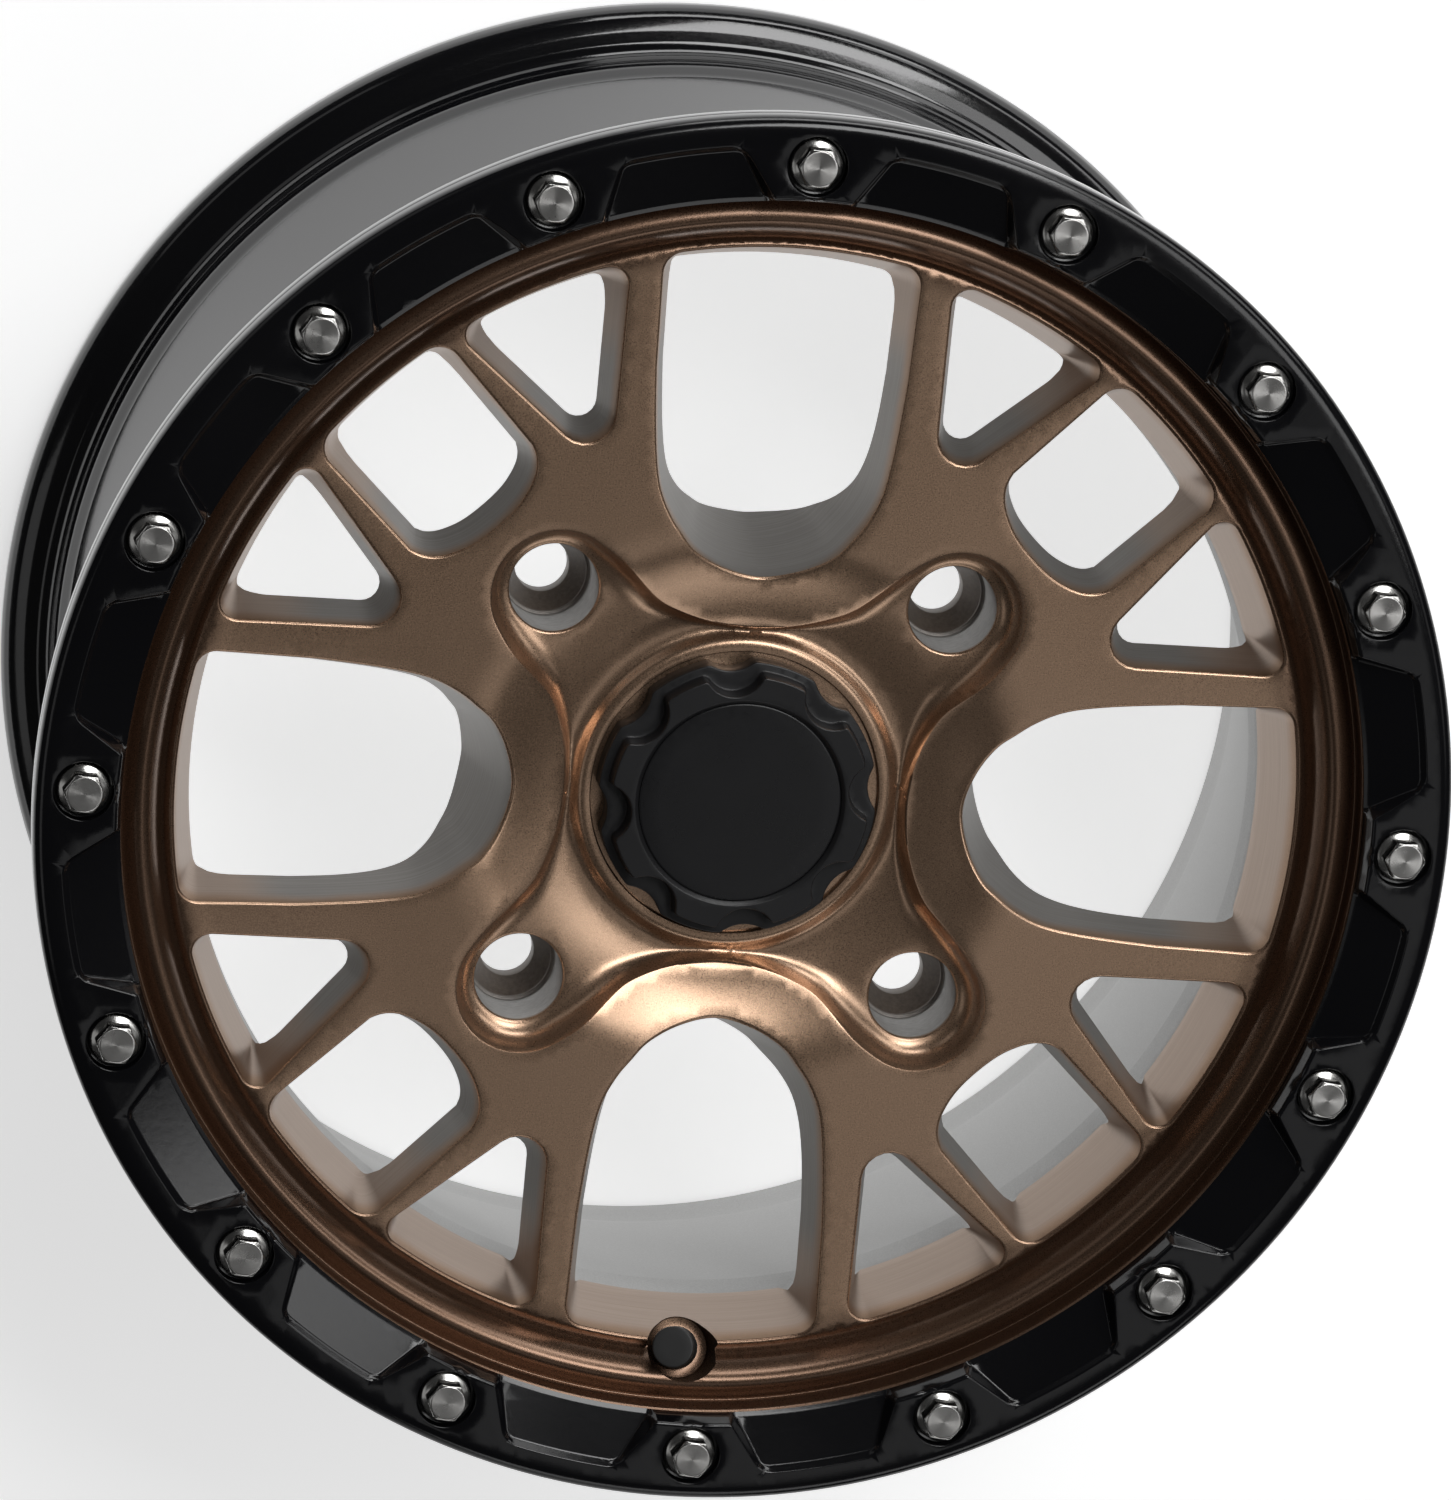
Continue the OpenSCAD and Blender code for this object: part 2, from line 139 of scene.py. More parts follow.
def fillet_poly(pts, step=12.0, closed=False):
    """Polyline (x, y, radius) with its corners replaced by arcs, about step degrees a segment."""
    out = []
    n = len(pts)
    for i, p in enumerate(pts):
        b = np.array(p[:2], float)
        rad = p[2] if len(p) > 2 else 0.0
        if not closed and i in (0, n - 1) or rad <= 0:
            out.append(b)
            continue
        a, c = np.array(pts[i - 1][:2], float), np.array(pts[(i + 1) % n][:2], float)
        u, v = (a - b) / np.linalg.norm(a - b), (c - b) / np.linalg.norm(c - b)
        cosang = float(np.clip(u @ v, -1, 1))
        half = math.acos(cosang) / 2
        if half > math.radians(89):
            out.append(b)
            continue
        t = rad / math.tan(half)
        lim = 0.49 * min(np.linalg.norm(a - b), np.linalg.norm(c - b))
        if t > lim:
            t = lim
            rad = t * math.tan(half)
        w = (u + v) / np.linalg.norm(u + v)
        m = b + w * rad / math.sin(half)
        s, f = b + u * t - m, b + v * t - m
        sweep = math.atan2(s[0] * f[1] - s[1] * f[0], s @ f)
        a0 = math.atan2(s[1], s[0])
        k = max(1, int(round(abs(math.degrees(sweep)) / step)))
        for j in range(k + 1):
            out.append(m + rad * np.array([math.cos(a0 + sweep * j / k), math.sin(a0 + sweep * j / k)]))
    return np.array(out)


def spline(P, per, lead=None, tail=None):
    """Centripetal spline through P with per[i] steps in span i."""
    P = np.asarray(P, float)
    Q = np.vstack([lead if lead is not None else 2 * P[0] - P[1], P,
                   tail if tail is not None else 2 * P[-1] - P[-2]])
    out = []
    for i in range(len(P) - 1):
        p0, p1, p2, p3 = Q[i], Q[i + 1], Q[i + 2], Q[i + 3]
        t0 = 0.0
        t1 = t0 + np.linalg.norm(p1 - p0) ** 0.5
        t2 = t1 + np.linalg.norm(p2 - p1) ** 0.5
        t3 = t2 + np.linalg.norm(p3 - p2) ** 0.5
        for k in range(per[i]):
            t = t1 + (t2 - t1) * k / per[i]
            a1 = (t1 - t) / (t1 - t0) * p0 + (t - t0) / (t1 - t0) * p1
            a2 = (t2 - t) / (t2 - t1) * p1 + (t - t1) / (t2 - t1) * p2
            a3 = (t3 - t) / (t3 - t2) * p2 + (t - t2) / (t3 - t2) * p3
            b1 = (t2 - t) / (t2 - t0) * a1 + (t - t0) / (t2 - t0) * a2
            b2 = (t3 - t) / (t3 - t1) * a2 + (t - t1) / (t3 - t1) * a3
            out.append((t2 - t) / (t2 - t1) * b1 + (t - t1) / (t2 - t1) * b2)
    out.append(P[-1])
    return np.array(out)


def curve_1d(P, n=14):
    """A smooth function y(x) through control points with rising x."""
    S = spline(P, [n] * (len(P) - 1))
    x, y = S[:, 0], S[:, 1]
    order = np.argsort(x)
    return lambda q: np.interp(q, x[order], y[order])


def inside(loop, x, y):
    """Which points lie inside a closed 2D loop."""
    x0, y0 = loop[:, 0], loop[:, 1]
    x1, y1 = np.roll(x0, -1), np.roll(y0, -1)
    res = np.zeros(len(x), bool)
    box = (x >= x0.min()) & (x <= x0.max()) & (y >= y0.min()) & (y <= y0.max())
    idx = np.nonzero(box)[0]
    for s in range(0, len(idx), 2000):
        k = idx[s:s + 2000]
        px, py = x[k][:, None], y[k][:, None]
        hit = ((y0 > py) != (y1 > py)) & (px < (x1 - x0) * (py - y0) / np.where(y1 == y0, 1e-12, y1 - y0) + x0)
        res[k] = hit.sum(1) % 2 == 1
    return res


def thin(cand, fixed, gap):
    """Candidate points at least gap away from the fixed ones."""
    if len(fixed) == 0:
        return cand
    tree = KDTree(len(fixed))
    for i, p in enumerate(fixed):
        tree.insert((p[0], p[1], 0.0), i)
    tree.balance()
    return np.array([p for p in cand if tree.find((p[0], p[1], 0.0))[2] >= gap]).reshape(-1, 2)


def spaced(cand, gap):
    """Candidate points thinned so that no two are closer than gap."""
    cells, out = {}, []
    for p in cand:
        k = (int(math.floor(p[0] / gap)), int(math.floor(p[1] / gap)))
        near = False
        for i in (-1, 0, 1):
            for j in (-1, 0, 1):
                for q in cells.get((k[0] + i, k[1] + j), ()):
                    if (q[0] - p[0]) ** 2 + (q[1] - p[1]) ** 2 < gap * gap:
                        near = True
        if not near:
            cells.setdefault(k, []).append(p)
            out.append(p)
    return np.array(out).reshape(-1, 2)


def hexgrid(x0, x1, y0, y1, s):
    rows = []
    j = 0
    y = y0
    while y <= y1:
        xs = np.arange(x0 + (s / 2 if j % 2 else 0), x1, s)
        rows.append(np.stack([xs, np.full(len(xs), y)], 1))
        y += s * math.sqrt(3) / 2
        j += 1
    return np.vstack(rows)


def triangulate(outer, holes, free):
    """Points and triangles of the region inside the loop outer and outside every loop in holes."""
    loops = [np.asarray(outer)[:, :2]] + [np.asarray(h)[:, :2] for h in holes]
    pts, edges = [], []
    for lp in loops:
        b = sum(len(q) for q in pts)
        pts.append(lp)
        edges += [(b + i, b + (i + 1) % len(lp)) for i in range(len(lp))]
    if len(free):
        pts.append(np.asarray(free)[:, :2])
    P = np.vstack(pts)
    _, _, faces, orig, _, _ = delaunay_2d_cdt([Vector(p) for p in P.tolist()], edges, [], 0, 1e-7, True)
    back = [o[0] if o else -1 for o in orig]
    tris = np.array([[back[i] for i in f] for f in faces if len(f) == 3 and all(back[i] >= 0 for i in f)])
    c = P[tris].mean(1)
    keep = inside(loops[0], c[:, 0], c[:, 1])
    for h in loops[1:]:
        keep &= ~inside(h, c[:, 0], c[:, 1])
    tris = tris[keep]
    a, b, c = P[tris[:, 0]], P[tris[:, 1]], P[tris[:, 2]]
    area = (b[:, 0] - a[:, 0]) * (c[:, 1] - a[:, 1]) - (b[:, 1] - a[:, 1]) * (c[:, 0] - a[:, 0])
    tris[area < 0] = tris[area < 0][:, ::-1]
    return P, tris[np.abs(area) > 1e-9]


def turn(p, a):
    """2D or 3D points turned about the wheel axis by a degrees."""
    p = np.array(p, float)
    c, s = math.cos(math.radians(a)), math.sin(math.radians(a))
    q = p.copy()
    q[..., 0] = p[..., 0] * c - p[..., 1] * s
    q[..., 1] = p[..., 0] * s + p[..., 1] * c
    return q


# ------------------------------------------------------------------- shaders
def material(name):
    m = bpy.data.materials.new(name)
    m.use_nodes = True
    nt = m.node_tree
    for n in list(nt.nodes):
        nt.nodes.remove(n)
    out = nt.nodes.new("ShaderNodeOutputMaterial")
    bsdf = nt.nodes.new("ShaderNodeBsdfPrincipled")
    nt.links.new(bsdf.outputs[0], out.inputs[0])
    return m, nt, bsdf


def node(nt, kind, **kw):
    n = nt.nodes.new(kind)
    for k, v in kw.items():
        setattr(n, k, v)
    return n


def coords(nt, scale=(1, 1, 1)):
    tc = node(nt, "ShaderNodeTexCoord")
    mp = node(nt, "ShaderNodeMapping")
    mp.inputs["Scale"].default_value = scale
    nt.links.new(tc.outputs["Object"], mp.inputs["Vector"])
    return mp.outputs["Vector"]


def noise(nt, vec, scale, detail=3.0, rough=0.55):
    n = node(nt, "ShaderNodeTexNoise")
    n.inputs["Scale"].default_value = scale
    n.inputs["Detail"].default_value = detail
    n.inputs["Roughness"].default_value = rough
    nt.links.new(vec, n.inputs["Vector"])
    return n.outputs["Fac"]


def remap(nt, val, a, b, c, d, smooth=False):
    n = node(nt, "ShaderNodeMapRange")
    if smooth:
        n.interpolation_type = "SMOOTHSTEP"
    n.inputs["From Min"].default_value = a
    n.inputs["From Max"].default_value = b
    n.inputs["To Min"].default_value = c
    n.inputs["To Max"].default_value = d
    nt.links.new(val, n.inputs["Value"])
    return n.outputs["Result"]


def mix(nt, fac, a, b, mode="MIX"):
    n = node(nt, "ShaderNodeMix", data_type="RGBA", blend_type=mode)
    if isinstance(fac, (int, float)):
        n.inputs[0].default_value = fac
    else:
        nt.links.new(fac, n.inputs[0])
    for sock, val in ((n.inputs[6], a), (n.inputs[7], b)):
        if isinstance(val, tuple):
            sock.default_value = (*val, 1.0)
        else:
            nt.links.new(val, sock)
    return n.outputs[2]


def math_node(nt, op, a, b=None, clamp=False):
    n = node(nt, "ShaderNodeMath", operation=op, use_clamp=clamp)
    for sock, val in ((n.inputs[0], a), (n.inputs[1], b)):
        if val is None:
            continue
        if isinstance(val, (int, float)):
            sock.default_value = val
        else:
            nt.links.new(val, sock)
    return n.outputs[0]


def bump(nt, bsdf, height, strength, dist, chain=None):
    n = node(nt, "ShaderNodeBump")
    n.inputs["Strength"].default_value = strength
    n.inputs["Distance"].default_value = dist
    nt.links.new(height, n.inputs["Height"])
    if chain is not None:
        nt.links.new(chain, n.inputs["Normal"])
    nt.links.new(n.outputs["Normal"], bsdf.inputs["Normal"])
    return n.outputs["Normal"]


def axis_parts(nt):
    """Object x, y and z in metres, and the distance from the wheel axis."""
    tc = node(nt, "ShaderNodeTexCoord")
    sep = node(nt, "ShaderNodeSeparateXYZ")
    nt.links.new(tc.outputs["Object"], sep.inputs[0])
    x, y, z = sep.outputs
    r = math_node(nt, "SQRT", math_node(nt, "ADD", math_node(nt, "MULTIPLY", x, x), math_node(nt, "MULTIPLY", y, y)))
    return x, y, z, r


def metal_paint(name, base, deep, metallic, rough, grain=2600.0, grain_amt=0.16, lip=False):
    """Satin metallic paint: fine flake grain, slow colour drift and a slight orange peel; with lip set, painted shade
    darkens the base colour in the lip.
    """
    m, nt, b = material(name)
    vec = coords(nt)
    flake = noise(nt, vec, grain, 2.0, 0.6)
    drift = noise(nt, vec, 14.0, 3.0, 0.5)
    col = mix(nt, remap(nt, drift, 0.3, 0.7, 0.0, 1.0), deep, base)
    col = mix(nt, grain_amt, col, mix(nt, remap(nt, flake, 0.32, 0.68, 0.0, 1.0), (0.0, 0.0, 0.0), (1.0, 1.0, 1.0)), "OVERLAY")
    if lip:
        # painted shade: from r 148 mm outward to the ring the base colour is multiplied darker, standing in for the
        # shade that falls in the lip
        rim = remap(nt, axis_parts(nt)[3], 0.1480, 0.1575, 0.0, 1.0, True)
        col = mix(nt, rim, col, mix(nt, 1.0, col, (0.34, 0.31, 0.30), "MULTIPLY"))
    nt.links.new(col, b.inputs["Base Color"])
    b.inputs["Metallic"].default_value = metallic
    rr = math_node(nt, "ADD", remap(nt, drift, 0.2, 0.8, rough - 0.025, rough + 0.025),
                   remap(nt, flake, 0.3, 0.7, -0.03, 0.03))
    nt.links.new(rr, b.inputs["Roughness"])
    first = bump(nt, b, flake, 0.05, 0.00018)
    peel = noise(nt, vec, 420.0, 2.0, 0.5)
    bump(nt, b, peel, 0.03, 0.0004, first)
    return m, nt, b


# the last argument turns on the painted shade in the lip
bronze, _, _b = metal_paint("bronze_satin", (0.53, 0.35, 0.235), (0.50, 0.325, 0.215), 0.9, 0.29, 2600.0, 0.24, True)
_b.inputs["Coat Weight"].default_value = 0.3
_b.inputs["Coat Roughness"].default_value = 0.2
ring_paint, _, _b = metal_paint("black_satin", (0.0045, 0.0045, 0.0055), (0.0035, 0.0035, 0.0045), 0.0, 0.14, 3000.0, 0.05)
_b.inputs["Specular IOR Level"].default_value = 0.5

barrel_black, _nt, _b = metal_paint("black_gloss", (0.004, 0.004, 0.005), (0.003, 0.003, 0.004), 0.0, 0.12, 1500.0, 0.03)
_b.inputs["Coat Weight"].default_value = 0.6
_b.inputs["Coat Roughness"].default_value = 0.06

cast_grey, _nt, _b = metal_paint("cast_grey", (0.50, 0.50, 0.495), (0.47, 0.47, 0.465), 0.1, 0.45, 1800.0, 0.10)


def window_wall():
    """Bare cast wall with the face colour sprayed over its upper part."""
    m, nt, b = material("window_wall")
    x, y, z, r = axis_parts(nt)
    uv = node(nt, "ShaderNodeUVMap", uv_map="map")
    mp = node(nt, "ShaderNodeMapping")
    mp.inputs["Scale"].default_value = (22.0, 1500.0, 1.0)
    nt.links.new(uv.outputs["UV"], mp.inputs["Vector"])
    streak = noise(nt, mp.outputs["Vector"], 1.0, 4.0, 0.6)
    patch = noise(nt, coords(nt), 30.0, 3.0, 0.5)
    flake = noise(nt, coords(nt), 2600.0, 2.0, 0.6)
    bare = mix(nt, remap(nt, streak, 0.3, 0.7, 0.0, 1.0), (0.27, 0.255, 0.24), (0.36, 0.345, 0.33))
    paint = mix(nt, remap(nt, flake, 0.3, 0.7, 0.0, 1.0), (0.33, 0.22, 0.15), (0.38, 0.255, 0.175))
    edge = math_node(nt, "ADD", z, remap(nt, patch, 0.3, 0.7, -0.001, 0.001))
    fade = remap(nt, edge, 0.1690, 0.1742, 1.0, 0.0, True)
    warm = mix(nt, remap(nt, streak, 0.3, 0.7, 0.0, 1.0), (0.40, 0.315, 0.26), (0.48, 0.385, 0.325))
    bare = mix(nt, remap(nt, r, 0.125, 0.140, 0.0, 1.0, True), bare, warm)
    nt.links.new(mix(nt, fade, paint, bare), b.inputs["Base Color"])
    b.inputs["Metallic"].default_value = 0.86
    nt.links.new(math_node(nt, "ADD", remap(nt, fade, 0.0, 1.0, 0.36, 0.40), remap(nt, streak, 0.3, 0.7, -0.03, 0.03)),
                 b.inputs["Roughness"])
    bump(nt, b, streak, 0.04, 0.00015)
    return m


wall_mat = window_wall()


def lug_mat():
    """Socket well: machined light wall, and a dark brown seat low in the well that is painted shade."""
    m, nt, b = material("lug_well")
    x, y, z, r = axis_parts(nt)
    ring = noise(nt, coords(nt, (0.3, 0.3, 1.0)), 1600.0, 2.0, 0.6)
    grain = noise(nt, coords(nt), 900.0, 3.0, 0.6)
    bare = mix(nt, remap(nt, ring, 0.3, 0.7, 0.0, 1.0), (0.42, 0.41, 0.40), (0.55, 0.545, 0.53))
    # painted shade: the seat low in the well gets a near-black brown in place of a lit colour
    shaded_seat = mix(nt, remap(nt, grain, 0.3, 0.7, 0.0, 1.0), (0.10, 0.075, 0.055), (0.17, 0.13, 0.10))
    top = remap(nt, z, 0.1632, 0.1642, 0.0, 1.0, True)
    # mask for the painted shade, from z 146.5 mm downward
    low = remap(nt, z, 0.1455, 0.1475, 1.0, 0.0, True)
    col = mix(nt, low, bare, shaded_seat)
    col = mix(nt, top, col, (0.33, 0.235, 0.16))
    nt.links.new(col, b.inputs["Base Color"])
    b.inputs["Metallic"].default_value = 0.3
    nt.links.new(remap(nt, grain, 0.3, 0.7, 0.34, 0.46), b.inputs["Roughness"])
    bump(nt, b, ring, 0.10, 0.0002)
    return m


lug_material = lug_mat()


# ------------------------------------------------------- the wheel's heights
DRAFT = math.tan(math.radians(14.5))
WIN_R = 154.6
LUG = 78 / math.sqrt(2)

top_of = curve_1d([(38, 166.1), (47.2, 166.2), (49, 166.9), (54, 168.1), (60, 170.0), (66, 172.2), (71, 173.8),
                   (75, 174.6), (80, 174.97), (86, 175), (110, 175), (148, 175.6), (154.4, 175.95), (155.6, 175.9),
                   (156.4, 175.5), (156.9, 174.85), (157.4, 174.3)])
floor_of = curve_1d([(39.9, 163.7), (40.2, 163.95), (40.6, 164.05), (42.2, 164.0), (43.0, 163.75), (43.7, 163.2),
                     (44.5, 162.3), (45.5, 161.5), (46.8, 161.15), (48.6, 161.2), (52, 161.9), (57, 163.2),
                     (64, 164.5), (70, 165), (100, 165)])


PAD = 133.0                      # height of the hub pad


def flower(x, y):
    """Distance into the shallow recess round the lug holes; negative outside it."""
    ax, ay = np.abs(x), np.abs(y)
    r = np.hypot(x, y)
    dt = np.minimum(np.hypot(ax, ay - 103.4), np.hypot(ax - 103.4, ay)) - 56.0
    dc = 71.5 - r
    dl = 18.4 - np.hypot(ax - LUG, ay - LUG)
    k = 9.0
    a = np.minimum(dt, dc) - np.maximum(k - np.abs(dt - dc), 0) ** 2 / (4 * k)
    k = 13.0
    h = np.maximum(k - np.abs(a - dl), 0) / k
    return np.maximum(a, dl) + h * h * k / 4


def drop(sd, H, alpha, rt, rb):
    """How far the surface has fallen at distance sd past an edge: a rounded edge, a wall and a rounded foot."""
    s, ca = np.tan(alpha), np.cos(alpha)
    tt, tb = rt * np.tan(alpha / 2), rb * np.tan(alpha / 2)
    xf = H / s
    x1, x2, x3 = tt * ca, xf - tb * ca, xf + tb
    mid = np.minimum(x1, x2)
    out = np.where(sd <= -tt, 0.0, rt - np.sqrt(np.maximum(rt * rt - np.minimum(sd + tt, rt) ** 2, 0)))
    wall = s * sd
    foot = H - (rb - np.sqrt(np.maximum(rb * rb - np.clip(x3 - sd, 0, rb) ** 2, 0)))
    out = np.where(sd > mid, wall, out)
    out = np.where(sd > np.maximum(x1, x2), foot, out)
    out = np.where(sd >= x3, H, out)
    return np.minimum(out, H)


def face_z(x, y):
    x, y = np.asarray(x, float), np.asarray(y, float)
    r = np.hypot(x, y)
    t, f = top_of(r), floor_of(r)
    sd = flower(x, y)
    rb = np.clip(2.2 + (r - 48.0) * 0.32, 2.2, 6.0)
    z = t - drop(sd, t - f, math.radians(77), 0.75, rb)
    return np.where(r < 43.4, f, z)


BACK = fillet_poly([(66.6, PAD), (71.8, PAD, 0.4), (75.5, 139.6, 12), (79, 145, 14), (82.5, 149.6, 14),
                    (86, 153, 12), (90, 155.8, 14), (95, 158, 18), (101, 159.6, 20), (108, 160.5, 20), (114, 160.8, 5),
                    (142, 160.8, 3), (146.4, 159.2, 2.5), (148.4, 156.4, 2), (148.8, 154, 2), (148.8, 146)], 14)
BACK_S = 66.6 + np.concatenate([[0], np.cumsum(np.linalg.norm(np.diff(BACK, axis=0), axis=1))])
_mono = BACK[:, 0] < 148.8 - 1e-6


def back_z(r):
    rr = BACK[_mono]
    return np.interp(r, np.append(rr[:, 0], 148.8), np.append(rr[:, 1], BACK[~_mono][0, 1]))


def boss_z(x, y):
    """Height of the bosses behind the lug holes."""
    d = np.hypot(np.abs(x) - LUG, np.abs(y) - LUG)
    return np.where(d <= 16.6, 133.0, 133.0 + (d - 16.6) * 3.6)


def back_point(s):
    """Radius and height on the back at the flattened radius s."""
    return np.interp(s, BACK_S, BACK[:, 0]), np.interp(s, BACK_S, BACK[:, 1])


# ------------------------------------------------------- the window outlines
def side_curve(P, per):
    """Right half of the hub end, and its inward normals."""
    P = np.array(P, float)
    lead = P[1] * [-1, 1]
    tail = P[-1]
    S = spline(P[:-1], per, lead, tail)
    t = np.gradient(S, axis=0)
    t[0] = [1, 0]
    u = (P[-1] - P[-2]) / np.linalg.norm(P[-1] - P[-2])
    t[-1] = u
    t /= np.linalg.norm(t, axis=1)[:, None]
    return S, np.stack([-t[:, 1], t[:, 0]], 1), u


BIG = side_curve([(0, 61.4), (11, 64.2), (19.5, 69.6), (23.2, 74.2), (27, 79.6), (30.8, 88.5), (34.4, 120),
                  (35.1, 150.6)], [7, 7, 4, 5, 6, 12])
MID = side_curve([(0, 103.8), (10, 104.9), (18, 108.8), (21.6, 114.8), (22.3, 153)], [7, 6, 5])


def arc_pts(c, rad, a0, a1, k):
    t = a0 + (a1 - a0) * np.arange(1, k + 1) / k
    return np.stack([c[0] + rad * np.cos(t), c[1] + rad * np.sin(t)], 1)


def rim_corner(a, u, n, rho, R):
    """Centre of the rounding between a straight side (through a, along u, inward normal n) and the rim circle R."""
    c0 = a + n * rho
    b = c0 @ u
    s = -b + math.sqrt(b * b - (c0 @ c0 - (R - rho) ** 2))
    return c0 + u * s, a + u * s


def sym_window(base, rho0, d, m=9, K=7, M=9):
    S, N, u = base
    n = np.array([-u[1], u[0]])
    R = WIN_R - d
    rho = max(1.0, rho0 - 0.8 * d)
    a = S[-1] + n * d
    c, t1 = rim_corner(a, u, n, rho, R)
    line = a + (t1 - a) * (np.arange(1, m + 1) / m)[:, None]
    a1 = math.atan2(c[1], c[0])
    corner = arc_pts(c, rho, math.atan2(-n[1], -n[0]), a1, K)
    rim = arc_pts((0, 0), R, a1, math.pi / 2, M)
    half = np.vstack([S + N * d, line, corner, rim])
    return np.vstack([half, (half[1:-1] * [-1, 1])[::-1]])


def tri_window(d, m=20, K=7, M=12):
    R = WIN_R - d
    p0, p1 = np.array([44.1, 88.8]), np.array([89.4, 126.1])
    u = (p1 - p0) / np.linalg.norm(p1 - p0)
    n = np.array([-u[1], u[0]])
    v, nb = np.array([0.0, 1.0]), np.array([1.0, 0.0])
    r0, r1, r2 = (max(1.0, q - 0.8 * d) for q in (8.0, 4.5, 5.0))
    c1, t1 = rim_corner(p0 + n * d, u, n, r1, R)
    c2, t2 = rim_corner(p0 + nb * d, v, nb, r2, R)
    # centre of the hub-end corner: at d + r0 from both sides
    e = d + r0
    x = p0[0] + e
    s = (x - (p0 + n * e)[0]) / u[0]
    c0 = p0 + n * e + u * s
    s0, s1 = c0 - n * r0, c0 - nb * r0
    a_n, a1, a2 = math.atan2(-n[1], -n[0]), math.atan2(c1[1], c1[0]), math.atan2(c2[1], c2[0])
    lineA = s0 + (t1 - s0) * (np.arange(1, m + 1) / m)[:, None]
    lineB = t2 + (s1 - t2) * (np.arange(1, m + 1) / m)[:, None]
    return np.vstack([arc_pts(c0, r0, math.pi, a_n + 2 * math.pi, K), lineA, arc_pts(c1, r1, a_n, a1, K),
                      arc_pts((0, 0), R, a1, a2, M), arc_pts(c2, r2, a2, math.pi, K), lineB])


D_LEVELS = np.concatenate([np.arange(-0.8, 12.4, 0.1)])


def window_stack(kind, angle, mirror=False):
    """The window's outlines at every level, turned into place: (levels, points, 2)."""
    loops = []
    for d in D_LEVELS:
        lp = {"big": lambda: sym_window(BIG, 6.0, d), "mid": lambda: sym_window(MID, 6.5, d),
              "tri": lambda: tri_window(d)}[kind]()
        if mirror:
            lp = (lp * [-1, 1])[::-1]
        loops.append(turn(lp, angle))
    return np.array(loops)


def at_level(stack, d):
    """Points of each column at its own level d."""
    f = np.clip((d - D_LEVELS[0]) / 0.1, 0, len(D_LEVELS) - 1.001)
    j = f.astype(int)
    t = (f - j)[:, None]
    i = np.arange(stack.shape[1])
    return stack[j, i] * (1 - t) + stack[j + 1, i] * t


def cross_level(g):
    """Level at which each column of g (levels, points) first goes from above 0 to below."""
    below = g <= 0
    j = np.argmax(below, axis=0)
    j = np.clip(j, 1, len(D_LEVELS) - 1)
    i = np.arange(g.shape[1])
    a, b = g[j - 1, i], g[j, i]
    t = np.where(np.abs(a - b) < 1e-12, 0.0, a / (a - b))
    return D_LEVELS[j - 1] + 0.1 * np.clip(t, 0, 1)


Z_LEVELS = 175 - D_LEVELS / DRAFT


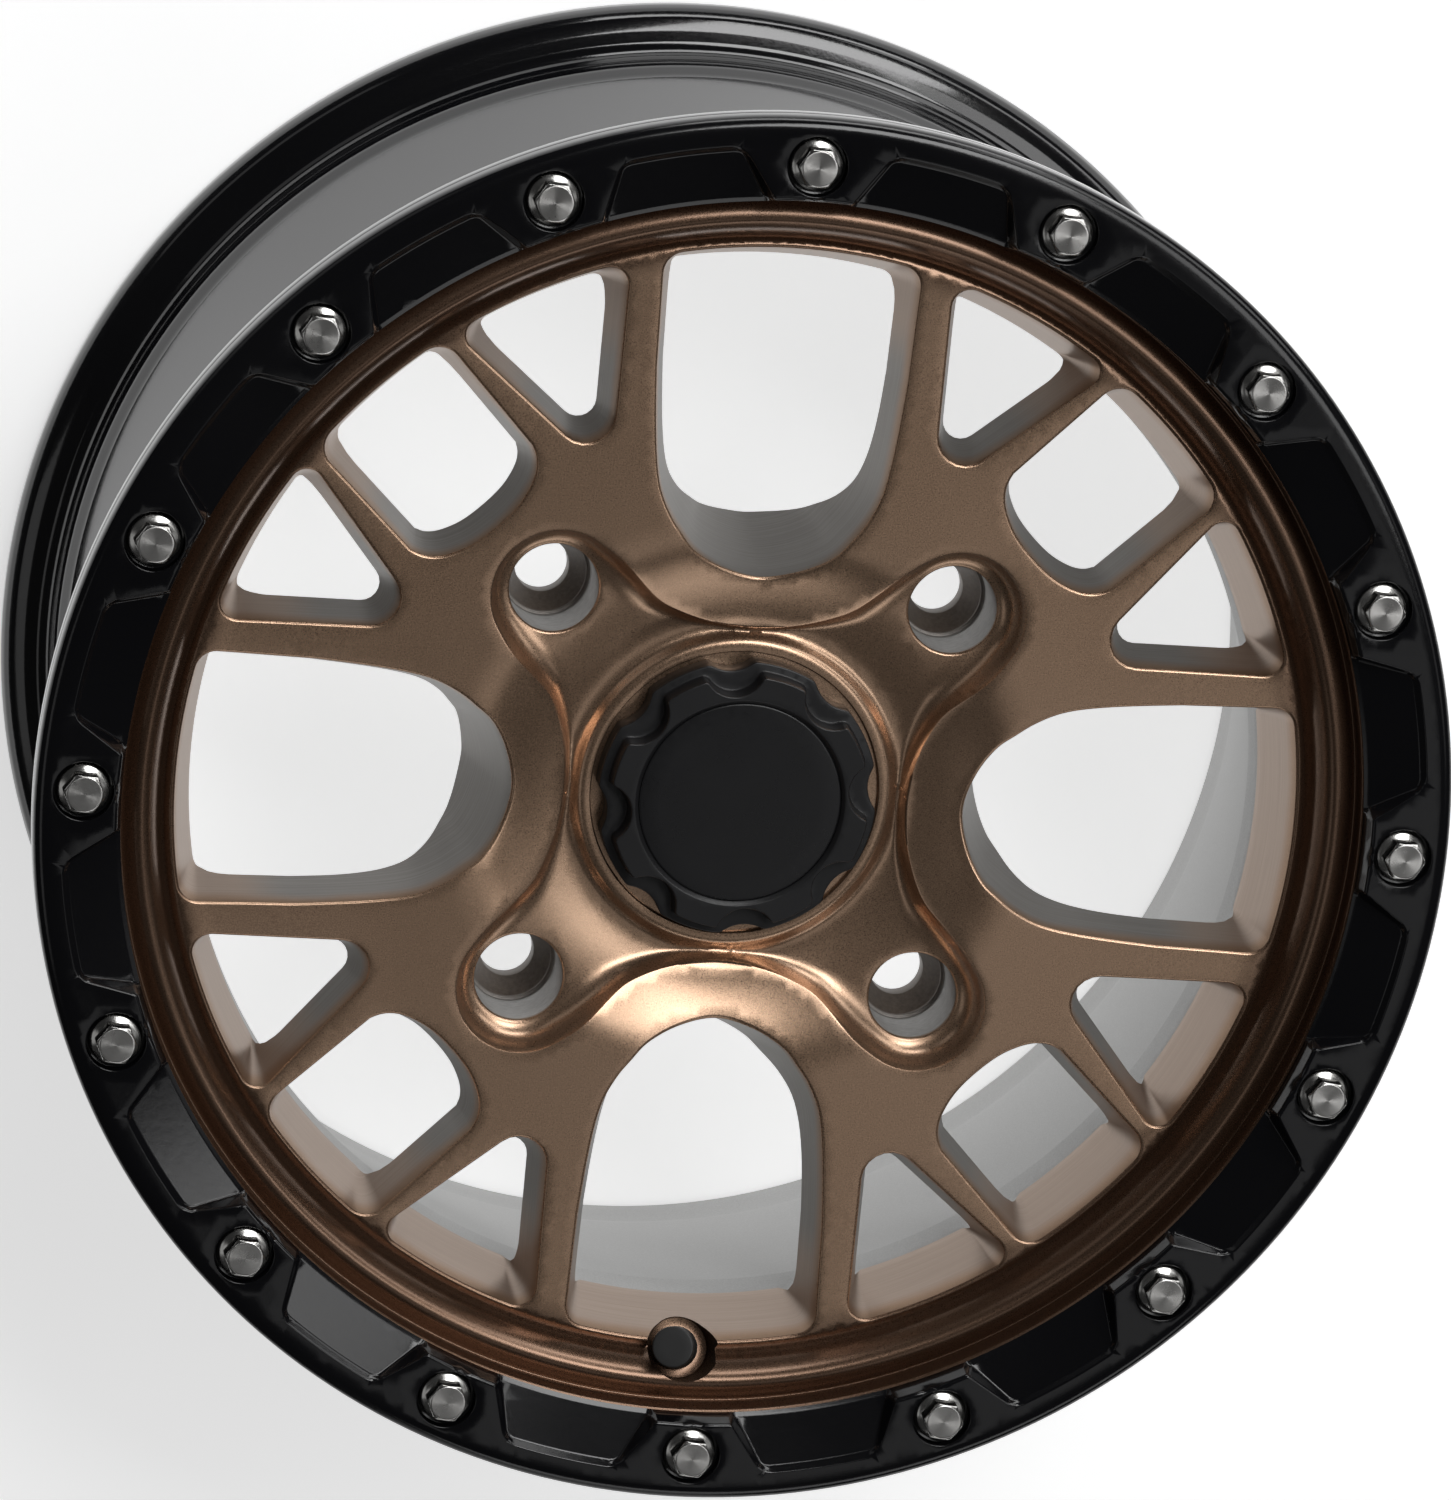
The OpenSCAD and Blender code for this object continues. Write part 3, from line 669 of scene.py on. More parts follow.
def build_window(sh, stack, rho=0.9, mat=1):
    """Adds the rounded edge and the wall. Returns the edge loop on the face and the loop on the flattened back."""
    zf = face_z(stack[..., 0], stack[..., 1])
    d0 = cross_level(Z_LEVELS[:, None] - zf)
    P2 = at_level(stack, d0)
    P = np.column_stack([P2, 175 - d0 / DRAFT])
    tan = np.roll(P2, -1, 0) - np.roll(P2, 1, 0)
    tan /= np.linalg.norm(tan, axis=1)[:, None]
    out = np.stack([tan[:, 1], -tan[:, 0]], 1)
    step = 0.4
    Q = at_level(stack, d0 + step)
    w = np.column_stack([Q - P2, np.full(len(P2), -step / DRAFT)])
    wl = np.linalg.norm(w, axis=1)
    w /= wl[:, None]
    # direction along the face away from the window
    e = 1.0
    F = P2 + out * e
    f = np.column_stack([out * e, face_z(F[:, 0], F[:, 1]) - P[:, 2]])
    f /= np.linalg.norm(f, axis=1)[:, None]
    th = np.arccos(np.clip((f * w).sum(1), -1, 1))
    t = rho / np.tan(th / 2)
    Tf = P + f * t[:, None]
    Tf[:, 2] = face_z(Tf[:, 0], Tf[:, 1])
    dw = d0 + t * step / wl
    Tw = np.column_stack([at_level(stack, dw), 175 - dw / DRAFT])
    h = f + w
    h /= np.linalg.norm(h, axis=1)[:, None]
    C = P + h * (rho / np.sin(th / 2))[:, None]
    rows = [Tf]
    for k in range(1, 4):
        s = k / 4
        v = (Tf - C) * (1 - s) + (Tw - C) * s
        v *= (rho / np.linalg.norm(v, axis=1))[:, None]
        rows.append(C + v)
    rows.append(Tw)
    # the wall runs down to the back
    r = np.hypot(stack[..., 0], stack[..., 1])
    g = np.where(r >= 148.8, 1.0, Z_LEVELS[:, None] - back_z(r))
    below = g <= 0
    j = np.clip(np.argmax(below, axis=0), 1, len(D_LEVELS) - 1)
    i = np.arange(g.shape[1])
    r0, r1 = r[j - 1, i], r[j, i]
    through = (r0 >= 148.8) & (r1 < 148.8)
    tt = np.where(through, (r0 - 148.8) / np.maximum(r0 - r1, 1e-9), g[j - 1, i] / np.maximum(g[j - 1, i] - g[j, i], 1e-9))
    db = D_LEVELS[j - 1] + 0.1 * np.clip(tt, 0, 1)
    B2 = at_level(stack, db)
    rb = np.hypot(B2[:, 0], B2[:, 1])
    zb = 175 - db / DRAFT
    m_r = np.append(BACK[_mono][:, 0], 148.8)
    m_s = np.append(BACK_S[_mono], BACK_S[~_mono][0])
    s_edge = BACK_S[~_mono][0]
    z_edge = BACK[~_mono][0, 1]
    sb = np.where(through & (zb < z_edge), s_edge + (z_edge - zb), np.interp(rb, m_r, m_s))
    rr, zz = back_point(sb)
    B = np.column_stack([B2 / rb[:, None] * rr[:, None], zz])
    flat = B2 / rb[:, None] * sb[:, None]
    n = 7
    for k in range(1, n + 1):
        s = k / (n + 1)
        d = dw + (db - dw) * s
        rows.append(np.column_stack([at_level(stack, d), 175 - d / DRAFT]))
    rows.append(B)
    sh.strip(rows[:5], 0)
    wall = np.array(rows[4:])
    step = np.linalg.norm(np.diff(np.vstack([P2, P2[:1]]), axis=0), axis=1)
    u = np.concatenate([[0], np.cumsum(step)])
    v = np.concatenate([np.zeros((1, wall.shape[1])), np.cumsum(np.linalg.norm(np.diff(wall, axis=0), axis=2), axis=0)])
    v = np.column_stack([v, v[:, :1]])
    sh.strip(wall, mat, uv=np.stack([np.broadcast_to(u, v.shape), v], 2) * MM)
    return Tf, flat, B


def rot_x(a):
    c, s = math.cos(math.radians(a)), math.sin(math.radians(a))
    return np.array([[1, 0, 0], [0, c, -s], [0, s, c]])


def rot_y(a):
    c, s = math.cos(math.radians(a)), math.sin(math.radians(a))
    return np.array([[c, 0, s], [0, 1, 0], [-s, 0, c]])


FOOT = np.array([-1.7, -160.0, 167.0])
pocket_place = (rot_x(-22.5), FOOT)
valve_place = (rot_y(-13.1) @ rot_x(-19.2), FOOT)


def make_wheel():
    sh = Shape()
    face_holes, back_holes, lug_rims = [], [], []
    for q in range(4):
        for kind, a, mir in (("big", q * 90, False), ("mid", 45 + q * 90, False), ("tri", q * 90, False), ("tri", q * 90, True)):
            st = window_stack(kind, a, mir)
            tf, flat, _ = build_window(sh, st)
            face_holes.append(tf)
            back_holes.append(flat)
    # lug wells
    n = 64
    for q in range(4):
        cx, cy = turn([78.0, 0.0], 45 + 90 * q)
        loop = circle(13.1, 0, n, cx, cy)
        loop[:, 2] = face_z(loop[:, 0], loop[:, 1])
        face_holes.append(loop)
        rows = [loop]
        c2 = np.array([cx, cy])
        for k in range(1, 5):
            a = math.pi / 2 * k / 4
            p = circle(12.3 + 0.8 * (1 - math.sin(a)), 0, n, cx, cy)
            p[:, 2] = loop[:, 2] - 0.8 * (1 - math.cos(a))
            rows.append(p)
        sh.strip(rows, 0, flip=True)
        prof = fillet_poly([(12.3, 163.5), (12.3, 146.3, 0.5), (11.3, 146.3, 0.3), (11.3, 145.3, 0.3), (7.5, 138.7, 0.8),
                            (7.5, 133.6, 0.3), (8.1, 133.0)], 30)
        rows2 = [rows[-1]] + [circle(r, z, n, cx, cy) for r, z in prof[1:]]
        sh.strip(rows2, 4, flip=True)
        rim = rows2[-1]
        lug_rims.append(rim)
        r = np.hypot(rim[:, 0], rim[:, 1])
        flat_r = np.interp(r, np.append(BACK[_mono][:, 0], 148.8), np.append(BACK_S[_mono], BACK_S[~_mono][0]))
        back_holes.append(rim[:, :2] / r[:, None] * flat_r[:, None])
    # face
    inner, outer = circle(40.2, 0), circle(157.4, 0)
    fixed = np.vstack([h[:, :2] for h in face_holes] + [inner[:, :2], outer[:, :2]])
    seeds = []
    for q in range(4):
        a = np.radians(np.arange(180, 361, 1.15))
        arc = np.stack([56 * np.cos(a), 103.4 + 56 * np.sin(a)], 1)
        arc = arc[np.hypot(arc[:, 0], arc[:, 1]) < 82]
        seeds.append(turn(arc, 90 * q))
        a = np.radians(np.arange(-130, 131, 3.6))
        lob = np.stack([78 + 18.4 * np.cos(a), 18.4 * np.sin(a)], 1)
        seeds.append(turn(lob, 45 + 90 * q))
    seeds = np.vstack(seeds)
    fine = []
    for target in (-0.62, -0.42, -0.22, -0.02, 0.2, 0.6, 1.0, 1.5, 2.1, 2.8, 3.6, 4.5, 5.6, 6.8):
        p = seeds.copy()
        for _ in range(6):
            e = 0.01
            f0 = flower(p[:, 0], p[:, 1])
            gx = (flower(p[:, 0] + e, p[:, 1]) - f0) / e
            gy = (flower(p[:, 0], p[:, 1] + e) - f0) / e
            g2 = np.maximum(gx * gx + gy * gy, 0.2)
            p = p + np.stack([gx, gy], 1) * ((target - f0) / g2)[:, None]
        ok = np.abs(flower(p[:, 0], p[:, 1]) - target) < 0.05
        fine.append(spaced(p[ok], 0.8))
    fine = np.vstack(fine)
    r = np.hypot(fine[:, 0], fine[:, 1])
    fine = fine[(r > 44.2) & (r < 100)]
    for h in face_holes:
        fine = fine[~inside(h[:, :2], fine[:, 0], fine[:, 1])]
    fine = thin(fine, fixed, 0.45)
    fine = spaced(fine, 0.26)
    rings = np.vstack([turn(circle(rr, 0)[:, :2], 0.75 * (k % 2)) for k, rr in enumerate(
        (40.5, 41.2, 42.0, 42.5, 42.9, 43.3, 43.7, 44.2, 44.8, 45.4, 46.1, 46.9))])
    rings = thin(rings, np.vstack([fixed, fine]), 0.35)
    land = np.vstack([turn(circle(rr, 0)[:, :2], 0.75 * (k % 2)) for k, rr in enumerate((155.3, 156.0, 156.4, 156.8, 157.1))])
    for h in face_holes:
        land = land[~inside(h[:, :2], land[:, 0], land[:, 1])]
    land = thin(land, fixed, 0.5)
    base = np.vstack([fixed, fine, rings, land])
    grid = hexgrid(-158, 158, -158, 158, 2.6)
    r = np.hypot(grid[:, 0], grid[:, 1])
    grid = grid[(r > 46.8) & (r < 155)]
    for h in face_holes:
        grid = grid[~inside(h[:, :2], grid[:, 0], grid[:, 1])]
    grid = thin(grid, base, 1.25)
    free = np.vstack([fine, rings, land, grid])
    P, T = triangulate(outer[:, :2], [inner[:, :2]] + [h[:, :2] for h in face_holes], free)
    z = face_z(P[:, 0], P[:, 1])
    sh.add(np.column_stack([P, z]), [tuple(t) for t in T.tolist()], 0)
    zi, zo = float(face_z(40.2, 0.0)), float(face_z(157.4, 0.0))
    # roll, lip and the flange under the ring
    roll = spline([(157.4, zo), (158.6, 176.0), (159.6, 178.8), (160.8, 181.2), (162.2, 183.0), (163.8, 183.9),
                   (165.6, 183.8), (167.4, 183.0), (168.8, 182.1)], [3, 3, 3, 3, 3, 3, 3, 3], lead=(156.8, zo))
    lip = fillet_poly([(168.8, 182.1), (170.0, 181.6, 0.7), (170.15, 188.9, 0.6), (171.4, 190)], 18)[1:]
    sh.revolve(roll, 0, flip=True)
    sh.revolve(np.vstack([roll[-1:], lip]), 0, flip=True)
    outer_prof = fillet_poly([
        (171.4, 190), (193.4, 190, 0.7), (193.9, 188.8, 1.5), (193.9, 185.6, 3), (192.9, 182.4, 4), (190.6, 179.8, 4),
        (187, 178.6, 5), (181.6, 178.2, 3), (178.3, 176.9, 4), (177, 173.5, 3), (176.6, 165, 3), (175.4, 161, 3),
        (171.5, 158.6, 6), (164, 156.5, 8), (156.2, 153.8, 5), (153.5, 149.6, 5), (153.5, 141, 6), (154.9, 133, 6),
        (174.2, 27.4, 5), (176.5, 24, 4), (177, 17.6, 4), (178.2, 14, 4), (181, 12.5, 3), (184.6, 12, 4), (188.2, 10.6, 3),
        (190.2, 8.4, 3), (191, 5.8, 2.5), (191, 2.2, 1.6), (189.4, 0, 1.6), (174.2, 0, 0.8), (173, 13, 6), (172, 21.5, 6),
        (169.8, 29, 8), (148.8, 141, 1.2), (148.8, 146)], 13)
    r141 = np.argmin(np.abs(outer_prof[:, 0] - 173.4) + np.abs(outer_prof[:, 1] - 3))
    sh.revolve(outer_prof[:r141 + 1], 3, flip=True)
    sh.revolve(outer_prof[r141:], 2, flip=True)
    # mouth, cap bore and hub bore
    sh.revolve([(40.2, zi), (39.95, zi - 0.25), (39.8, zi - 0.7), (39.8, 162.5), (35.5, 162.5)], 0)
    sh.revolve(fillet_poly([(35.5, 162.5), (35.5, 151, 0.5), (44, 151, 1), (57, 147, 2), (66, 140, 1),
                            (66, PAD + 0.6, 0.3), (66.6, PAD)], 20), 2)
    # back of the disc, triangulated on its flattened form
    inner_b, outer_b = circle(66.6, 0)[:, :2], circle(BACK_S[-1], 0)[:, :2]
    fixed_b = np.vstack(back_holes + [inner_b, outer_b])
    s_out = BACK_S[-1]
    bends = []
    for k, s in enumerate(BACK_S[1:-1]):
        bends.append(turn(circle(s, 0, 160)[:, :2], 1.1 * (k % 2)))
    for q in range(4):
        for k, rr in enumerate((16.5, 16.7, 17.3, 18.0, 18.8, 19.6, 20.4, 21.3, 22.2, 23.2, 24.2)):
            p = circle(rr, 0, 84, *turn([78.0, 0.0], 45 + 90 * q))[:, :2]
            r = np.hypot(p[:, 0], p[:, 1])
            ok = (r > 67.4) & (boss_z(p[:, 0], p[:, 1]) < back_z(r) + 3)
            p, r = p[ok], r[ok]
            bends.append(p / r[:, None] * np.interp(r, np.append(BACK[_mono][:, 0], 148.8),
                                                    np.append(BACK_S[_mono], BACK_S[~_mono][0]))[:, None])
    bends = np.vstack(bends[::-1])
    for h in back_holes:
        bends = bends[~inside(h, bends[:, 0], bends[:, 1])]
    bends = spaced(thin(bends, fixed_b, 0.7), 0.22)
    grid = hexgrid(-s_out, s_out, -s_out, s_out, 4.0)
    rr = np.hypot(grid[:, 0], grid[:, 1])
    grid = grid[(rr > 68) & (rr < s_out - 1)]
    for h in back_holes:
        grid = grid[~inside(h, grid[:, 0], grid[:, 1])]
    grid = thin(grid, np.vstack([fixed_b, bends]), 1.8)
    P, T = triangulate(outer_b, [inner_b] + back_holes, np.vstack([bends, grid]))
    s = np.hypot(P[:, 0], P[:, 1])
    rr, zz = back_point(s)
    Q = np.column_stack([P / s[:, None] * rr[:, None], zz])
    Q[:, 2] = np.where(rr > 67.2, np.minimum(Q[:, 2], boss_z(Q[:, 0], Q[:, 1])), Q[:, 2])
    # the rims of the lug holes keep their own positions
    pos = len(outer_b) + len(inner_b) + sum(len(h) for h in back_holes[:-4])
    for c in lug_rims:
        Q[pos:pos + len(c)] = c
        pos += len(c)
    sh.add(Q, [tuple(t[::-1]) for t in T.tolist()], 2)
    ob = sh.make("wheel_casting", [bronze, wall_mat, cast_grey, barrel_black, lug_material], sharp=38, recalc=True)
    # valve pocket, valve hole and the flat on the air side
    cut = Shape()
    prof = [(12, -24), (12, -4), (5.75, -4), (5.75, 0), (8.2, 0), (8.5, 0.15), (8.65, 0.5), (8.75, 4), (10.3, 11.8), (10.3, 26)]
    cut.revolve(prof, 0, 96)
    cut.cap(12, -24, 96, 0, True)
    cut.cap(10.3, 26, 96)
    cutter = cut.make("pocket_cutter", [bronze], place=pocket_place, recalc=True)
    mod = ob.modifiers.new("pocket", "BOOLEAN")
    mod.operation, mod.solver, mod.object = "DIFFERENCE", "EXACT", cutter
    dg = bpy.context.evaluated_depsgraph_get()
    me = bpy.data.meshes.new_from_object(ob.evaluated_get(dg), preserve_all_data_layers=True, depsgraph=dg)
    ob.modifiers.clear()
    ob.data = me
    bpy.data.objects.remove(cutter)
    me.polygons.foreach_set("use_smooth", np.ones(len(me.polygons), bool))
    me.set_sharp_from_angle(angle=math.radians(38))
    return ob


wheel = make_wheel()
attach(wheel, "wheel")
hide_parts("wheel")


# ---------------------------------------------------------- the other pieces
def offset_points(sdf, seeds, targets, gap):
    """Points on the level lines of a distance field, walked there from seeds."""
    out = []
    for target in targets:
        p = seeds.copy()
        for _ in range(6):
            e = 0.004
            f0 = sdf(p[:, 0], p[:, 1])
            gx = (sdf(p[:, 0] + e, p[:, 1]) - f0) / e
            gy = (sdf(p[:, 0], p[:, 1] + e) - f0) / e
            g2 = np.maximum(gx * gx + gy * gy, 0.3)
            p = p + np.stack([gx, gy], 1) * ((target - f0) / g2)[:, None]
        out.append(spaced(p[np.abs(sdf(p[:, 0], p[:, 1]) - target) < 0.02], gap))
    return np.vstack(out)


def round_min(a, b, rad):
    """The smaller of two distances, with the corner between them rounded."""
    near = (a < rad) & (b < rad)
    rounded = rad - np.hypot(np.maximum(rad - a, 0), np.maximum(rad - b, 0))
    return np.where(near, rounded, np.minimum(a, b))


def field(sh, outer, holes, free, zfun, mat=0, flip=False):
    """A surface z(x, y) between loops."""
    P, T = triangulate(outer, holes, free)
    z = zfun(P[:, 0], P[:, 1])
    sh.add(np.column_stack([P, z]), [tuple(t[::-1] if flip else t) for t in T.tolist()], mat)


def copy_into(sh, part, move):
    v = move(np.vstack(part.v))
    n = sh.n
    sh.v.append(v)
    sh.f += [tuple(i + n for i in fa) for fa in part.f]
    sh.m += part.m
    sh.uv += part.uv
    sh.n += len(v)


RING_TOP = 196.7
PA = np.array([186.5 * math.cos(math.radians(5.05)), 186.5 * math.sin(math.radians(5.05))])
PB = np.array([172.0 * math.cos(math.radians(7.75)), 172.0 * math.sin(math.radians(7.75))])
PU = (PB - PA) / np.linalg.norm(PB - PA)
PN = np.array([PU[1], -PU[0]])
if PN[1] > 0:
    PN = -PN


def pocket_parts(x, y):
    r, th = np.hypot(x, y), np.degrees(np.arctan2(y, x))
    phi = np.radians((th - 11.25 + 11.25) % 22.5 - 11.25)
    px, py = r * np.cos(phi), np.abs(r * np.sin(phi))
    return (px - PA[0]) * PN[0] + (py - PA[1]) * PN[1], 186.5 - r, r


def pocket_sd(x, y):
    a, b, r = pocket_parts(x, y)
    return round_min(a, b, 3.0)


def ring_z(x, y):
    a, b, r = pocket_parts(x, y)
    sd = round_min(a, b, 3.0)
    low = 195.3 - 0.3116 * (185 - np.minimum(r, 185))
    q = np.clip((172.7 - r) / 1.2, 0, 1)
    top = RING_TOP - (1 - np.sqrt(1 - q * q))
    side = 1.1 + (185 - np.clip(r, 170, 185)) / 13 * 0.9
    w = np.clip((a - b) / 3 + 0.5, 0, 1)
    run = side * (1 - w) + 1.6 * w
    z = top - drop(sd, np.maximum(top - low, 0.01), np.arctan((RING_TOP - low) / run), 0.5, 0.5)
    return z


def make_ring():
    sh = Shape()
    n = 56
    half = 7.86
    edge = [half + 0.5, half + 0.25, half + 0.1, half, half - 0.1, half - 0.22, half - 0.36, half - 0.5, half - 0.64,
            half - 0.8, half - 1.0]
    one = sorted([-e for e in edge] + edge + list(np.arange(-6, 6.1, 1.5)) + [-11.25, -10.2, -9.3, 9.3, 10.2])
    angs = np.radians(np.concatenate([np.array(one) + 11.25 + 22.5 * k for k in range(16)]))
    inner = np.stack([171.5 * np.cos(angs), 171.5 * np.sin(angs)], 1)
    outer = circle(190.2, 0)[:, :2]
    holes = []
    for k in range(16):
        cx, cy = turn([181.0, 0.0], 22.5 * k)
        loop = circle(8.35, RING_TOP, n, cx, cy)
        holes.append(loop[:, :2])
        prof = [(8.35, RING_TOP), (8.22, RING_TOP - 0.04), (8.13, RING_TOP - 0.12), (8.1, RING_TOP - 0.26),
                (8.1, 193.7), (8.02, 193.5), (7.85, 193.4), (3.3, 193.4), (3.3, 190.0)]
        rows = [circle(r, z, n, cx, cy) for r, z in prof]
        rows[0][:, 2] = ring_z(rows[0][:, 0], rows[0][:, 1])
        sh.strip(rows, 0, flip=True)
    s = np.linspace(0, 1, 15)[:, None]
    side = PA + (PB + PU * 0.9 - PA) * s
    seeds = [turn(side, 11.25), turn(side * [1, -1], 11.25)]
    a = np.radians(np.arange(-5.0, 5.01, 0.5))
    seeds.append(turn(np.stack([186.5 * np.cos(a), 186.5 * np.sin(a)], 1), 11.25))
    for sg in (1, -1):
        c = PA + np.array([-3.0, 0]) + PN * 3.0
        aa = np.radians(np.arange(-40, 101, 8))
        seeds.append(turn(np.stack([c[0] + 3 * np.cos(aa), sg * (c[1] + 3 * np.sin(aa))], 1), 11.25))
    seeds = np.vstack(seeds)
    fine = offset_points(pocket_sd, seeds, (-0.3, -0.15, 0.0, 0.15, 0.35, 0.65, 0.95, 1.2, 1.45, 1.7, 1.95, 2.25), 0.5)
    fine = np.vstack([turn(fine, 22.5 * k) for k in range(16)])
    r = np.hypot(fine[:, 0], fine[:, 1])
    fine = fine[(r > 171.62) & (r < 190)]
    fixed = np.vstack(holes + [inner, outer])
    for h in holes:
        fine = fine[~inside(h, fine[:, 0], fine[:, 1])]
    fine = spaced(thin(fine, fixed, 0.12), 0.14)
    rim = np.vstack([np.stack([rr * np.cos(angs), rr * np.sin(angs)], 1) for rr in (171.56, 171.68, 171.85, 172.1, 172.4, 172.72)])
    for h in holes:
        rim = rim[~inside(h, rim[:, 0], rim[:, 1])]
    rim = thin(rim, np.vstack([fixed, fine]), 0.05)
    grid = hexgrid(-190, 190, -190, 190, 4.2)
    r = np.hypot(grid[:, 0], grid[:, 1])
    grid = grid[(r > 173.4) & (r < 188.8)]
    for h in holes:
        grid = grid[~inside(h, grid[:, 0], grid[:, 1])]
    grid = thin(grid, np.vstack([fixed, fine, rim]), 1.6)
    field(sh, outer, [inner] + holes, np.vstack([fine, rim, grid]), ring_z)
    zi = ring_z(inner[:, 0], inner[:, 1])
    k = len(inner)
    rows = [np.column_stack([inner, zi])]
    for r, z in ((170.9, None), (170.3, 190.5), (170.5, 190.0)):
        zz = (zi * 0.5 + 190.5 * 0.5) if z is None else np.full(k, z)
        rows.append(np.column_stack([inner / 171.5 * r, zz]))
    sh.strip(rows, 0, flip=True)
    prof = fillet_poly([(190.2, RING_TOP), (192.3, 196.35, 4), (193.75, 195.1, 1.6), (194, 193.6, 2), (194, 190.4, 0.4),
                        (193.6, 190)], 12)
    sh.revolve(prof, 0)
    bottom_in = rows[-1][:, :2]
    bh = [circle(3.3, 190, n, *turn([181.0, 0.0], 22.5 * k))[:, :2] for k in range(16)]
    field(sh, circle(193.6, 190)[:, :2], [bottom_in] + bh, np.zeros((0, 2)), lambda x, y: np.full(len(x), 190.0), 0, True)
    return sh.make("bolted_ring", [ring_paint], sharp=40, recalc=True)


def make_bolts(steel, turned):
    one = Shape()
    prof = [(2.4, 183.4), (3.0, 184.0), (3.0, 193.4), (6.95, 193.4), (7.06, 193.46), (7.1, 193.58), (7.1, 194.2),
            (7.04, 194.42), (6.9, 194.62), (6.6, 194.8), (5.9, 195.05), (5.3, 195.3), (4.7, 195.6), (4.0, 195.9)]
    one.revolve(prof, 0, 64)
    one.cap(2.4, 183.4, 64, 0, True)
    one.cap(4.0, 195.9, 64)
    n = 96
    a = np.arange(n) * 2 * math.pi / n
    acc = sum(np.maximum(np.cos(a - math.radians(30 + 60 * k)), 0.0) ** 70 for k in range(6))
    rh = 5.0 * acc ** (-1 / 70)
    zc = 200 - (rh - 4.65) * 0.529
    c, s = np.cos(a), np.sin(a)

    def row(r, z):
        return np.stack([r * c, r * s, z + 0 * r], 1)

    rows = [row(rh, 195.1 + 0 * a), row(rh, 197.0 + 0 * a), row(rh, zc - 0.16), row(rh - 0.05, zc - 0.03)]
    rows += [row(rh + (4.72 - rh) * f, 200 - (rh + (4.72 - rh) * f - 4.65) * 0.529 - 0.01) for f in (0.35, 0.7, 1.0)]
    one.strip(rows, 0)
    tops = [rows[-1]] + [row(np.full(n, q), np.full(n, z)) for q, z in ((4.6, 200.0), (4.3, 200.0), (3.2, 200.0), (2.0, 200.0),
                                                                      (0.9, 200.0), (0.12, 200.0))]
    u = np.arange(n + 1) / n
    v = np.array([4.72, 4.6, 4.3, 3.2, 2.0, 0.9, 0.12]) * MM
    uv = np.stack(np.broadcast_arrays(u[None, :], v[:, None]), 2)
    one.strip(tops, 1, uv=uv)
    one.add(tops[-1], [tuple(range(n))], 1, [[(i / n, 0.0001) for i in range(n)]])
    one.add(rows[0], [tuple(range(n))[::-1]], 0)
    sh = Shape()
    for i in range(16):
        t1, t2 = (i * 37) % 60, 22.5 * i
        copy_into(sh, one, lambda v, t1=t1, t2=t2: turn(turn(v, t1) + np.array([181.0, 0, 0]), t2))
    return sh.make("flange_bolts", [steel, turned], sharp=32)


CAP_TURN = 7.3
CAP_N = 320


def cap_local(x, y):
    r, th = np.hypot(x, y), np.degrees(np.arctan2(y, x))
    phi = np.radians((th - CAP_TURN + 22.5) % 45 - 22.5)
    return r, r * np.cos(phi), r * np.sin(phi)


def tier_sd(x, y):
    """Distance outward from the edge of the cap's raised tier."""
    r, px, py = cap_local(x, y)
    return -round_min(35.7 - r, np.hypot(px - 38.5, py) - 8.5, 0.9)


def cap_z(x, y):
    return 174.7 - drop(tier_sd(x, y), 5.3, math.radians(84), 0.4, 0.5)


def flange_r(a):
    d = np.radians((np.degrees(a) - CAP_TURN + 22.5) % 45 - 22.5)
    q = 10.3 ** 2 - (46.4 * np.sin(d)) ** 2
    s = np.where(q > 0, 46.4 * np.cos(d) - np.sqrt(np.maximum(q, 0)), 60.0)
    return -round_min_neg(38.6, s)


def round_min_neg(a, b):
    k = 0.8
    h = np.maximum(k - np.abs(a - b), 0) / k
    return -(np.minimum(a, b) - h * h * k / 4)


